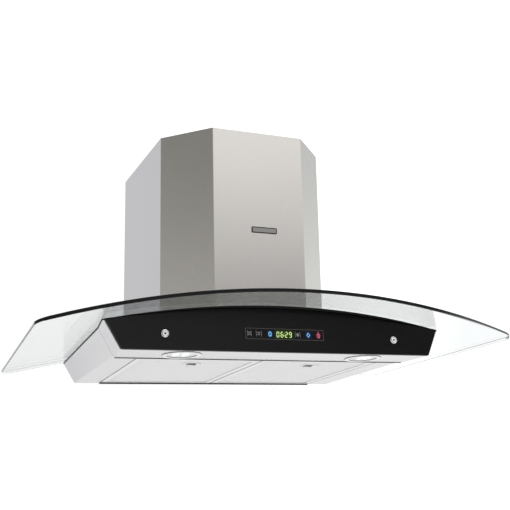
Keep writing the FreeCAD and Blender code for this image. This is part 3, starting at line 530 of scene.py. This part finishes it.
# ------------------------------------------------------------------ metals and plastics
class HOOD_OT_steel(bpy.types.Operator):
    """Finishes the body, the chimney and the plain metal parts"""

    bl_idname = "hood.steel"
    bl_label = "Steel"

    def execute(self, context):
        settings = context.scene.hood_steel
        body = brushed("body_steel", tuple(settings.body_colour), 0.26, (25, 1100, 1100))
        chimney = brushed("chimney_steel", tuple(settings.chimney_colour), 0.25, (1100, 1100, 22))
        back = body.split(body.placed_in(CANOPY))[1]
        seam = 1 - abs(back + BODY_SEAM).ramped(0.5 * MM, 1.0 * MM)
        body.set({"Base Color": body.mixed(seam, body.sheet, (0.16, 0.16, 0.16))})
        dress(body.owner, *pair("side_panel"), "back_panel", "bottom_pan", "fascia_frame", "lamp_strip")
        dress(chimney.owner, "chimney_cover")
        dress(galvanised("zinc_steel", (0.62, 0.64, 0.66)), "glass_nuts", "top_deck", "centre_rail",
              "panel_nuts", *pair("chimney_bracket"), "chimney_nuts", "wall_mount", "blower_box",
              "motor_rotor", "motor_screws", "collar_screws", "capacitor_clip")
        dress(polished("screw_steel", (0.74, 0.74, 0.75), 0.18), "glass_bolts", "glass_washers",
              *pair("filter_catch"), "motor_shaft", "damper_pin")
        return {"FINISHED"}


class HOOD_OT_inner_parts(bpy.types.Operator):
    """Finishes the blower, its motor and the electrical parts"""

    bl_idname = "hood.inner_parts"
    bl_label = "Inner parts"

    def execute(self, context):
        black = moulded("black_plastic", (0.032, 0.032, 0.034), 0.45)
        white = moulded("white_plastic", (0.78, 0.78, 0.76), 0.42)
        dress(black, "volute", "inlet_ring", "impeller", "outlet_collar", "damper_front",
              "damper_rear", "cable_gland")
        dress(white, "board_cover", "control_box")
        iron = Finish("motor_iron", {"Metallic": 0.6})
        cast = iron.noise((700, 700, 700), 3.0)
        iron.set({"Base Color": iron.mixed(cast, (0.15, 0.15, 0.16), (0.27, 0.27, 0.28)),
                  "Roughness": cast * 0.15 + 0.42})
        iron.bumped(cast, 0.3, 0.0002)
        dress(iron.owner, "motor_casing", "motor_stator")
        shell = Finish("capacitor_case", {"Specular IOR Level": 0.5, "Coat Weight": 0.2})
        dust = shell.noise((60, 60, 60), 3.0)
        shell.set({"Base Color": shell.mixed(dust, (0.66, 0.66, 0.63), (0.76, 0.76, 0.74)),
                   "Roughness": dust * 0.12 + 0.2})
        dress(shell.owner, "capacitor")
        board = Finish("circuit_board", {"Specular IOR Level": 0.5})
        weave = board.noise((900, 900, 60), 2.0)
        board.set({"Base Color": board.mixed(weave, (0.015, 0.12, 0.045), (0.03, 0.2, 0.08)),
                   "Roughness": weave * 0.1 + 0.3})
        dress(board.owner, "control_board")
        return {"FINISHED"}


# ------------------------------------------------------------------ glass and gasket
class HOOD_OT_glass(bpy.types.Operator):
    """Finishes the arched glass, its polished front edge painted dark, and the rubber under it"""

    bl_idname = "hood.glass"
    bl_label = "Glass and gasket"

    def execute(self, context):
        self.pane(context.scene.hood_glass)
        self.lip(self.rubber())
        return {"FINISHED"}

    def pane(self, settings):
        """Clear glass whose front edge is painted near-black from outside, a painted reflection of the
        glass's inside, and hardly shows through the sheet.
        """
        pane = Finish("canopy_glass", {"Metallic": 0.0, "IOR": 1.5, "Specular IOR Level": 0.12})
        x, back = pane.split(pane.placed_in(CANOPY))[:2]
        through = above_arch(pane)
        away = back * -1.0 - (GLASS_FRONT - GLASS_ARC_RADIUS)
        radius = (x * x + away * away) ** 0.5
        front = radius.ramped(GLASS_ARC_RADIUS - 26 * MM, GLASS_ARC_RADIUS - 16 * MM)
        # the painted dark of the front edge narrows and lightens towards its right end
        painted_dark_fade = front * x.ramped(240 * MM, 430 * MM)
        cut_edge = (through - painted_dark_fade * (0.9 * MM)).ramped(0.15 * MM, 0.5 * MM) * \
            (1 - through.ramped(GLASS_THICKNESS - 0.5 * MM, GLASS_THICKNESS - 0.15 * MM))
        # a painted reflection: the dark line that goes round from the front edge on to the faces, where
        # they mirror the dark edge
        band = (1 - painted_dark_fade) * radius.ramped(GLASS_ARC_RADIUS - 3.6 * MM, GLASS_ARC_RADIUS - 2.0 * MM)
        corner = abs(x).ramped(360 * MM, 430 * MM)
        # the side edges: pale grey in the middle, darker lines along both rims
        arris = abs(through - GLASS_THICKNESS / 2).ramped(1.6 * MM, 2.0 * MM)
        behind = pane.add("ShaderNodeNewGeometry", output="Backfacing")
        smear = pane.noise((9, 9, 9), 3.0)
        facing = pane.add("ShaderNodeLayerWeight", None, {"Blend": 0.5}, output="Facing")
        gleam = facing ** 5.0 * 0.96 + 0.04
        clear = pane.add("ShaderNodeBsdfTransparent", None, {0: (*settings.tint, 1.0)})
        gloss = pane.add("ShaderNodeBsdfGlossy", None, {"Color": (1, 1, 1, 1), "Roughness": 0.02})
        sheet = pane.add("ShaderNodeMixShader", None, {0: gleam, 1: clear, 2: gloss})
        side = pane.mixed(arris, (0.44, 0.47, 0.47), (0.12, 0.13, 0.13))
        # the cut edges take the painted dark at the front and the grey side colours elsewhere
        pane.set({"Base Color": pane.mixed(front, side, tuple(settings.painted_dark_edge_colour)),
                  "Roughness": smear * 0.06 + 0.12})
        rim = Value(pane, pane.shader.outputs[0])
        seen_inside = front * corner + (1 - front) * arris * 0.85
        edge = cut_edge * (1 - behind + behind * seen_inside)
        edge = edge.maths("MAXIMUM", edge, band * (1 - behind)) * (1 - painted_dark_fade * 0.12)
        both = pane.add("ShaderNodeMixShader", None, {0: edge, 1: sheet, 2: rim})
        pane.links.new(both.socket, pane.nodes["Material Output"].inputs["Surface"])
        dress(pane.owner, "glass_canopy")

    def rubber(self):
        rubber = Finish("seal_rubber", {"Specular IOR Level": 0.3})
        bloom = rubber.noise((300, 300, 300), 3.0)
        rubber.set({"Base Color": rubber.mixed(bloom, (0.008, 0.008, 0.008), (0.016, 0.016, 0.016)),
                    "Roughness": bloom * 0.1 + 0.6})
        rubber.bumped(bloom, 0.2, 0.0002)
        dress(rubber.owner, "glass_gasket")
        return rubber.owner

    def lip(self, rubber):
        """A thin black strip under the glass along the control panel's top, widest in the middle, in the
        gasket's rubber.
        """
        bm = bmesh.new()
        bmesh.ops.create_grid(bm, x_segments=60, y_segments=2, size=0.5)
        for vert in bm.verts:
            x = vert.co.x * 2 * LIP_HALF
            up = GLASS_CROWN - LIP_GAP - GLASS_BEND_RADIUS + math.sqrt(GLASS_BEND_RADIUS ** 2 - x * x)
            face = PANEL_FRONT - (up - STRIP_FACE) * math.tan(math.radians(PANEL_LEAN))
            reach = LIP_REACH * (1 - (x / LIP_HALF) ** 2) + 0.6 * MM
            vert.co = Vector((x, -face - reach * (vert.co.y + 0.5) - 0.05 * MM, up))
        bmesh.ops.recalc_face_normals(bm, faces=bm.faces)
        bmesh.ops.solidify(bm, geom=bm.faces[:], thickness=LIP_THICKNESS)
        # solidify may grow either way, so the lip is set by its lowest point in the middle
        low = min(vert.co.z for vert in bm.verts if abs(vert.co.x) < 1e-3)
        bmesh.ops.translate(bm, verts=bm.verts, vec=(0, 0, GLASS_CROWN - LIP_GAP - LIP_THICKNESS - low))
        bmesh.ops.recalc_face_normals(bm, faces=bm.faces)
        bmesh.ops.transform(bm, matrix=CANOPY, verts=bm.verts)
        piece("panel_lip", bm, rubber, "root", smooth=False)


# ------------------------------------------------------------------ control panel
SEGMENTS = {"0": "abcdef", "2": "abged", "6": "afgedc", "9": "abcdfg"}


class HOOD_OT_panel(bpy.types.Operator):
    """Finishes the black glass panel and lights its clock and touch marks"""

    bl_idname = "hood.panel"
    bl_label = "Control panel"

    def execute(self, context):
        black = Finish("black_glass", {"Specular IOR Level": 0.05, "Coat Weight": 0.0})
        film = black.noise((8, 8, 8), 3.0)
        x = black.split(black.placed_in(PANEL_FACE))[0]
        # painted reflection: the black is lighter at the left and darker at the right
        depth = black.mixed(x.ramped(-0.30, 0.30), (0.0165, 0.0165, 0.0165), (0.0072, 0.0072, 0.0072))
        # painted shade: a near-black band along the panel's top, just under the glass
        top = (above_arch(black) * -1.0).ramped(1.6 * MM, 3.2 * MM)
        black.set({"Base Color": black.mixed(top, (0.0012, 0.0012, 0.0012), depth),
                   "Roughness": film * 0.05 + 0.05})
        dress(black.owner, "control_panel")
        screen = Finish("display", {"Specular IOR Level": 0.4})
        dots = screen.noise((500, 500, 500), 2.0)
        screen.set({"Base Color": screen.mixed(dots, (0.01, 0.01, 0.011), (0.02, 0.02, 0.022)),
                    "Roughness": dots * 0.1 + 0.15})
        dress(screen.owner, "display_module")
        self.window()
        self.clock(context)
        self.marks()
        return {"FINISHED"}

    def clock(self, context):
        """Four slanting digits of six-sided strokes, and the colon's two dots."""
        settings = context.scene.hood_panel
        lit = glowing("clock_light", tuple(settings.digit_colour), 1.1)
        high = settings.digit_height / MM
        wide = 4.1
        bar = 1.3
        bm = bmesh.new()
        # each stroke's middle, and whether it stands upright
        spots = {"a": (0, high / 2, 0), "g": (0, 0, 0), "d": (0, -high / 2, 0),
                 "f": (-wide / 2, high / 4, 1), "b": (wide / 2, high / 4, 1),
                 "e": (-wide / 2, -high / 4, 1), "c": (wide / 2, -high / 4, 1)}
        for digit, left in zip("0629", (-14.6, -6.5, 2.2, 10.2)):
            for segment in SEGMENTS[digit]:
                dx, dy, upright = spots[segment]
                size = (bar, high / 2 - 0.3) if upright else (wide - 0.3, bar)
                tile(bm, 6, *size, left + dx + settings.digit_slant * dy, CLOCK_MIDDLE + dy, PANEL_FACE,
                     slant=settings.digit_slant, turn=math.pi / 6 if upright else 0, lift=MARK_LIFT)
        for up in (-high / 5, high / 5):
            tile(bm, 12, 1.2, 1.2, -2.3 + settings.digit_slant * up, CLOCK_MIDDLE + up, PANEL_FACE,
                 lift=MARK_LIFT)
        piece("clock_digits", bm, lit, "root", smooth=False)

    def window(self):
        """The smoked window that the marks shine through, with a little light spilt round them."""
        smoke = Finish("display_window", {"Specular IOR Level": 0.13, "Roughness": 0.08,
                                          "Emission Strength": 1.0})
        x, y = smoke.split(smoke.placed_in(PANEL_FACE))[:2]
        spill = (0.0, 0.0, 0.0)
        for at, up, half, high, reach, colour in (
                (-2.3, CLOCK_MIDDLE, 14.5, 4.0, 6.5, (0.010, 0.036, 0.0)),
                (-29.9, 33.6, 1.5, 2.5, 5.5, (0.0, 0.03, 0.10)),
                (46.2, 33.4, 1.5, 2.5, 6.0, (0.0, 0.022, 0.09)),
                (66.8, 33.4, 1.5, 2.0, 5.5, (0.10, 0.002, 0.02))):
            dx = smoke.at_least_zero(abs(x - at * MM) - half * MM)
            dy = smoke.at_least_zero(abs(y - up * MM) - high * MM)
            near = 1 - ((dx * dx + dy * dy) ** 0.5).ramped(0.0, reach * MM)
            spill = smoke.mixed(near, spill, colour)
        smoke.set({"Base Color": (0.002, 0.002, 0.002), "Emission Color": spill})
        bm = bmesh.new()
        tile(bm, 4, 156 * math.sqrt(2), 19.8 * math.sqrt(2), 0, 33.3, PANEL_FACE, thickness=0.02,
             turn=math.pi / 4)
        piece("display_window", bm, smoke.owner, "root", smooth=False)

    def marks(self):
        """The grey fans and dot, the blue ring and diamond, the pink ring and the thin frame round all."""
        grey = glowing("grey_mark", (0.20, 0.20, 0.205), 0.62)
        blue = glowing("blue_mark", (0.12, 0.40, 0.76), 0.9)
        pink = glowing("pink_mark", (0.75, 0.13, 0.26), 0.6)
        middle = MARK_MIDDLE
        bm = bmesh.new()
        for x, spread in ((-69.8, 3.4), (-51.7, 5.0), (24.8, 4.8)):
            for dx in (-spread, spread):
                bar_mark(bm, x + dx, middle, 0.7, 10.5)
        for x in (-69.8, -51.7):
            # a small fan: a hub and four blades
            tile(bm, 12, 2.0, 2.0, x, middle, PANEL_FACE, lift=MARK_LIFT)
            for quarter in range(4):
                angle = math.pi / 4 + quarter * math.pi / 2
                tile(bm, 8, 2.7, 1.8, x + 2.3 * math.cos(angle), middle + 3.0 * math.sin(angle),
                     PANEL_FACE, turn=angle, lift=MARK_LIFT)
        tile(bm, 8, 5.6, 7.0, 24.8, middle - 0.4, PANEL_FACE, lift=MARK_LIFT)
        piece("grey_marks", bm, grey, "root", smooth=False)
        bm = bmesh.new()
        for wide, high, x, y in ((154, 0.4, 0, 43.2), (154, 0.4, 0, 23.6), (0.5, 19.6, -77, 33.4),
                                 (0.4, 19.6, 77, 33.4)):
            bar_mark(bm, x, y, wide, high)
        piece("display_outline", bm, glowing("outline_mark", (0.16, 0.15, 0.145), 0.55), "root",
              smooth=False)
        bm = bmesh.new()
        ring_mark(bm, -29.9, middle - 0.4, 6.8, 3.2, 1.45)
        ring_mark(bm, 46.2, middle - 0.4, 7.8, 3.8, 1.3, sides=4)
        piece("blue_marks", bm, blue, "root", smooth=False)
        bm = bmesh.new()
        ring_mark(bm, 66.8, middle - 1.2, 7.0, 3.2, 1.5, sides=5, turn=math.pi / 2)
        bar_mark(bm, 66.8, middle + 5.2, 1.1, 3.2)
        piece("pink_mark", bm, pink, "root", smooth=False)


def bar_mark(bm, x, y, wide, high):
    """A thin upright or level line."""
    tile(bm, 4, wide * math.sqrt(2), high * math.sqrt(2), x, y, PANEL_FACE, turn=math.pi / 4,
         lift=MARK_LIFT)


def ring_mark(bm, x, y, outer, inner, stretch, sides=32, turn=0.0):
    """A flat ring of so many sides, taller than wide by the stretch."""
    bottom, top = MARK_LIFT, MARK_LIFT + 0.05
    profile = [(inner / 2, bottom), (outer / 2, bottom), (outer / 2, top), (inner / 2, top),
               (inner / 2, bottom)]
    place = PANEL_FACE @ Matrix.Translation((x * MM, y * MM, 0)) @ Matrix.Diagonal((1, stretch, 1, 1))
    turned(bm, profile, place @ Matrix.Rotation(turn, 4, "Z"), steps=sides)


def glowing(name, colour, strength):
    """A mark lit from behind through the black glass."""
    finish = Finish(name, {"Roughness": 0.35, "Emission Strength": strength})
    flicker = finish.noise((900, 900, 900), 1.0)
    shade = finish.mixed(flicker, shaded(colour, 0.9), colour)
    finish.set({"Base Color": shaded(colour, 0.3), "Emission Color": shade})
    return finish.owner


class HOOD_OT_cap_screws(bpy.types.Operator):
    """Turns the two cap screws that hold the control panel"""

    bl_idname = "hood.cap_screws"
    bl_label = "Cap screws"

    def execute(self, context):
        head = [(0, 1.0), (1.7, 1.0), (1.9, 2.6), (2.3, 2.95), (4.3, 2.95), (4.7, 2.6), (4.85, 1.9),
                (5.35, 1.9), (5.5, 2.5), (5.9, 2.75), (6.6, 2.5), (7.15, 1.8), (7.4, 0.9), (7.4, 0),
                (4.0, 0), (4.0, -11.2), (0, -11.2)]
        metal = polished("screw_cap_steel", (0.86, 0.86, 0.87), 0.10)
        # painted shade: the socket and the groove round the head are near-black, a little mottled
        recess_shade = Finish("screw_recess", {"Metallic": 0.4, "Roughness": 0.5})
        shade_mottle = recess_shade.noise((900, 900, 900), 2.0)
        recess_shade.set({"Base Color": recess_shade.mixed(shade_mottle, (0.02, 0.02, 0.02), (0.05, 0.05, 0.05))})
        bm = bmesh.new()
        for side in (-1, 1):
            turned(bm, head, PANEL_FACE @ Matrix.Translation((side * CAP_SCREW_X, CAP_SCREW_UP, 0)))
        for face in bm.faces:
            spot = PANEL_FACE.inverted() @ face.calc_center_median()
            offset = math.hypot(abs(spot.x) - CAP_SCREW_X, spot.y - CAP_SCREW_UP)
            # faces in the socket and the groove get the painted shade
            groove = 4.75 * MM < offset < 5.4 * MM and spot.z < 2.0 * MM
            face.material_index = 1 if spot.z > 0 and (offset < 1.85 * MM or groove) else 0
        crease(piece("cap_screws", bm, [metal, recess_shade.owner], "root",
                     replaces=["panel_screws"]), 25)
        return {"FINISHED"}


# ------------------------------------------------------------------ lamps
class HOOD_OT_lamps(bpy.types.Operator):
    """Makes the faceted reflectors and finishes the trims, lenses and bulbs"""

    bl_idname = "hood.lamps"
    bl_label = "Lamps"

    def execute(self, context):
        settings = context.scene.hood_lamps
        self.trims()
        self.lenses()
        self.reflectors(settings.facets)
        self.bulbs(settings.bulb_light)
        return {"FINISHED"}

    def trims(self):
        """Chrome rings whose walls are painted dark, a painted shade, round a bright flat."""
        chrome = Finish("lamp_chrome", {"Metallic": 1.0})
        x, back = chrome.split(chrome.placed_in(CANOPY))[:2]
        reach = ((abs(x) - LAMP_X) ** 2.0 + (back - LAMP_Y) ** 2.0) ** 0.5
        flat = reach.ramped(26.8 * MM, 27.6 * MM) * (1 - reach.ramped(35.0 * MM, 35.5 * MM))
        rub = chrome.noise((160, 160, 160), 3.0)
        # painted shade: the walls in and out of the flat are dark, the flat bright
        chrome.set({"Base Color": chrome.mixed(flat, (0.24, 0.24, 0.24), (0.93, 0.93, 0.93)),
                    "Roughness": rub * 0.1 + 0.2})
        dress(chrome.owner, *pair("lamp_trim"))

    def lenses(self):
        """Rippled glass lit from behind, with two hot spots in each."""
        lens = Finish("lamp_glass", {"Roughness": 0.12, "Specular IOR Level": 0.2,
                                     "Emission Strength": 1.0})
        x, back = lens.split(lens.placed_in(CANOPY))[:2]
        spots = 0.0
        for side, centre in ((-1, -11), (-1, 7), (1, -4), (1, 9)):
            dx = x - side * LAMP_X - centre * MM
            dy = back - LAMP_Y
            near = 1 - ((dx * dx + dy * dy * 0.12) ** 0.5).ramped(2 * MM, 7 * MM)
            spots = near.maths("MAXIMUM", spots, near)
        ripple = lens.noise((220, 220, 220), 2.0)
        lit = lens.mixed(spots, (0.34, 0.35, 0.35), (1.0, 1.0, 1.0))
        lens.set({"Base Color": (0.5, 0.5, 0.5),
                  "Emission Color": lens.mixed(ripple * 0.25, lit, (0.2, 0.2, 0.2))})
        clear = lens.add("ShaderNodeBsdfTransparent", None, {0: (0.97, 0.98, 0.98, 1.0)})
        both = lens.add("ShaderNodeMixShader", None, {0: spots * 0.4 + 0.55, 1: clear,
                                                      2: Value(lens, lens.shader.outputs[0])})
        lens.links.new(both.socket, lens.nodes["Material Output"].inputs["Surface"])
        dress(lens.owner, *pair("lamp_lens"))

    def bulbs(self, strength):
        bulb = Finish("bulb_glass", {"Roughness": 0.2, "Emission Strength": strength})
        frost = bulb.noise((200, 200, 200), 2.0)
        bulb.set({"Base Color": (0.95, 0.95, 0.95),
                  "Emission Color": bulb.mixed(frost, (1.0, 0.97, 0.92), (1.0, 1.0, 0.98))})
        dress(bulb.owner, *pair("lamp_bulb"))

    def reflectors(self, facets):
        """Faceted dishes, each a stack of bands a little flatter than the curve they follow."""
        mirror = polished("reflector", (0.93, 0.93, 0.93), 0.10)
        rim, top, base, neck = 30.7, 33.0, 5.0, 4.0
        dish = [(rim, base)]
        for band in range(1, 7):
            height = base + (top - base) * band / 6
            radius = rim * math.sqrt(max(top - height, 0.0) / (top - base))
            dish.append((max(radius, neck) + 0.7, height - 0.9))
            dish.append((max(radius, neck), height))
        profile = [(0, 34.0), (31.7, 34.0), (31.7, base)] + dish + [(0, top)]
        for side, name in ((-1, "left"), (1, "right")):
            bm = bmesh.new()
            place = CANOPY @ Matrix.Translation((side * LAMP_X, LAMP_Y, STRIP_FACE))
            turned(bm, profile, place, steps=facets)
            piece("reflector_" + name, bm, mirror, "root", smooth=False,
                  replaces=["lamp_housing_" + name])


# ------------------------------------------------------------------ filters
class HOOD_OT_filters(bpy.types.Operator):
    """Cuts the expanded mesh of the grease filters and finishes their frames and pulls"""

    bl_idname = "hood.filters"
    bl_label = "Filters"

    def execute(self, context):
        metal = brushed("filter_aluminium", (0.90, 0.90, 0.90), 0.34, (30, 900, 900))
        dress(metal.owner, *pair("filter_frame"))
        cup = brushed("cup_aluminium", (0.90, 0.90, 0.90), 0.30, (30, 900, 900))
        x, back = cup.split(cup.placed_in(CANOPY))[:2]
        # painted shade: the pull's slot and a band of the dish next to it are near-black, so the opening
        # reads larger
        painted_slot_shade = (1 - abs(abs(x) - CUP_X).ramped(9.0 * MM, 10.0 * MM)) * \
            (1 - abs(back - PULL_SLOT_Y).ramped(8.0 * MM, 8.8 * MM))
        cup.set({"Base Color": cup.mixed(painted_slot_shade, cup.sheet, (0.02, 0.02, 0.02))})
        dress(cup.owner, *pair("pull_cup"))
        wire = Finish("filter_mesh", {"Metallic": 0.3, "Roughness": 0.45})
        cut = wire.noise((400, 400, 400), 2.0)
        wire.set({"Base Color": wire.mixed(cut, (0.93, 0.93, 0.93), (1.0, 1.0, 1.0))})
        deep = Finish("mesh_layers", {"Metallic": 0.3})
        wave = deep.add("ShaderNodeTexVoronoi", {"feature": "DISTANCE_TO_EDGE"},
                        {"Vector": deep.stretched((130, 230, 130)), "Scale": 1.0}, output="Distance")
        strand = wave.ramped(0.02, 0.2)
        deep.set({"Base Color": deep.mixed(strand, (0.98, 0.98, 0.98), (0.80, 0.80, 0.80)),
                  "Roughness": 0.4})
        deep.bumped(wave, 0.4, 0.0005)
        for side, name in ((-1, "left"), (1, "right")):
            self.mesh(context, side, name, [wire.owner, deep.owner])
        self.shade_strips()
        return {"FINISHED"}

    def shade_strips(self):
        """Two slim dark strips, painted shadow gaps: behind the lamp strip, and along the rail behind the
        filters.
        """
        bm = bmesh.new()
        for half, front, rear, low, high in ((293, 351.9, 350.3, -4.0, -0.2),
                                             (247, 8.5, 7.0, -2.4, -0.05)):
            bar = bmesh.ops.create_cube(bm, size=1)["verts"]
            bmesh.ops.scale(bm, verts=bar, vec=(2 * half * MM, (front - rear) * MM, (high - low) * MM))
            bmesh.ops.translate(bm, verts=bar, vec=(0, -(front + rear) / 2 * MM, (high + low) / 2 * MM))
            edges = list({edge for vert in bar for edge in vert.link_edges})
            bmesh.ops.bevel(bm, geom=edges, offset=0.3 * MM, affect="EDGES", segments=2, profile=0.5,
                            material=-1)
        bmesh.ops.transform(bm, matrix=CANOPY, verts=bm.verts)
        # painted shadow: the bars are dark plastic where the gaps between the parts fall into shade
        gap_shade = moulded("seal_felt", (0.035, 0.036, 0.037), 0.7)
        piece("underside_shade_strips", bm, gap_shade, "root", smooth=False)

    def mesh(self, context, side, name, materials):
        """Lays out the diamonds, cuts them to the frame's window and opens each one between strands."""
        settings = context.scene.hood_mesh
        long_way = settings.diamond_length
        short_way = settings.diamond_width
        low_x, high_x = 2.9 * MM, 245.6 * MM
        low_y, high_y = -324.6 * MM, -12.4 * MM
        wide, deep = high_x - low_x, high_y - low_y
        count = math.ceil(wide / long_way + deep / short_way) + 2
        bm = bmesh.new()
        bmesh.ops.create_grid(bm, x_segments=count, y_segments=count, size=count / 2)
        bmesh.ops.rotate(bm, verts=bm.verts, cent=(0, 0, 0), matrix=Matrix.Rotation(math.pi / 4, 3, "Z"))
        bmesh.ops.scale(bm, verts=bm.verts,
                        vec=(long_way / math.sqrt(2), short_way / math.sqrt(2), 1))
        bmesh.ops.translate(bm, verts=bm.verts, vec=((low_x + high_x) / 2, (low_y + high_y) / 2, 0))
        for spot, normal in (((low_x, 0, 0), (-1, 0, 0)), ((high_x, 0, 0), (1, 0, 0)),
                             ((0, low_y, 0), (0, -1, 0)), ((0, high_y, 0), (0, 1, 0))):
            bmesh.ops.bisect_plane(bm, geom=bm.verts[:] + bm.edges[:] + bm.faces[:], dist=1e-7,
                                   plane_co=spot, plane_no=normal, clear_outer=True)
        bmesh.ops.inset_individual(bm, faces=bm.faces[:], thickness=0.62 * MM, use_even_offset=True)
        # the inside of each diamond is a hole, unless the frame leaves only a sliver of it
        holes = [face for face in bm.faces if self.is_hole(face, 0.3 * long_way * short_way / 2)]
        bmesh.ops.delete(bm, geom=holes, context="FACES_ONLY")
        near = [face for face in bm.faces
                if abs(face.calc_center_median().x - CUP_X) < 17.2 * MM
                and abs(face.calc_center_median().y - CUP_Y) < 11.2 * MM]
        bmesh.ops.delete(bm, geom=near, context="FACES")
        bmesh.ops.recalc_face_normals(bm, faces=bm.faces)
        bmesh.ops.solidify(bm, geom=bm.faces[:], thickness=0.45 * MM)
        lowest = min(vert.co.z for vert in bm.verts)
        bmesh.ops.translate(bm, verts=bm.verts, vec=(0, 0, 1.25 * MM - lowest))
        back = bmesh.ops.create_grid(bm, x_segments=1, y_segments=1, size=0.5)
        bmesh.ops.scale(bm, verts=back["verts"], vec=(wide, deep, 1))
        bmesh.ops.translate(bm, verts=back["verts"],
                            vec=((low_x + high_x) / 2, (low_y + high_y) / 2, 5.0 * MM))
        face = back["verts"][0].link_faces[0]
        face.normal_flip()
        face.material_index = 1
        if side < 0:
            bmesh.ops.scale(bm, verts=bm.verts, vec=(-1, 1, 1))
            bmesh.ops.reverse_faces(bm, faces=bm.faces)
        bmesh.ops.transform(bm, matrix=CANOPY, verts=bm.verts)
        piece("grease_mesh_" + name, bm, materials, "filter_" + name, smooth=False,
              replaces=["filter_mesh_" + name])

    def is_hole(self, face, least_area):
        return all(len(edge.link_faces) == 2 for edge in face.edges) and face.calc_area() > least_area


class HOOD_OT_name_plate(bpy.types.Operator):
    """Finishes the small bare plate on the chimney's front"""

    bl_idname = "hood.name_plate"
    bl_label = "Chimney plate"

    def execute(self, context):
        plate = Finish("plate_metal", {"Metallic": 0.8})
        x, _, z = plate.axes()
        inside = (1 - abs(x - PLATE_X).ramped(24.9 * MM, 25.5 * MM)) * \
            (1 - abs(z - PLATE_Z).ramped(4.0 * MM, 4.5 * MM))
        grain = plate.noise((40, 900, 900), 3.0)
        plate.set({"Base Color": plate.mixed(inside, (0.02, 0.02, 0.02), (0.34, 0.34, 0.34)),
                   "Roughness": grain * 0.1 + 0.25})
        dress(plate.owner, "name_plate")
        return {"FINISHED"}


# ------------------------------------------------------------------ sidebar
class HOOD_PT_sidebar(bpy.types.Panel):
    bl_label = "Range Hood"
    bl_idname = "HOOD_PT_sidebar"
    bl_space_type = "VIEW_3D"
    bl_region_type = "UI"
    bl_category = "Range Hood"

    def draw(self, context):
        for made in MAKERS:
            self.layout.operator(made.bl_idname)
        for name in SETTINGS:
            group = getattr(context.scene, name)
            for setting in group.bl_rna.properties.keys():
                if setting not in ("rna_type", "name"):
                    self.layout.prop(group, setting)


SETTINGS = {"hood_studio": StudioSettings, "hood_steel": SteelSettings, "hood_glass": GlassSettings,
            "hood_panel": PanelSettings, "hood_lamps": LampSettings, "hood_mesh": MeshSettings}
MAKERS = (HOOD_OT_studio, HOOD_OT_steel, HOOD_OT_inner_parts, HOOD_OT_glass, HOOD_OT_panel,
          HOOD_OT_cap_screws, HOOD_OT_lamps, HOOD_OT_filters, HOOD_OT_name_plate)


def register():
    for each in (*SETTINGS.values(), *MAKERS, HOOD_PT_sidebar):
        bpy.utils.register_class(each)
    for name, group in SETTINGS.items():
        setattr(bpy.types.Scene, name, bpy.props.PointerProperty(type=group))


def unregister():
    for name in SETTINGS:
        delattr(bpy.types.Scene, name)
    for each in (HOOD_PT_sidebar, *reversed(MAKERS), *SETTINGS.values()):
        bpy.utils.unregister_class(each)


def main():
    register()
    for made in MAKERS:
        group, name = made.bl_idname.split(".")
        getattr(getattr(bpy.ops, group), name)()


if __name__ == "__main__":
    main()
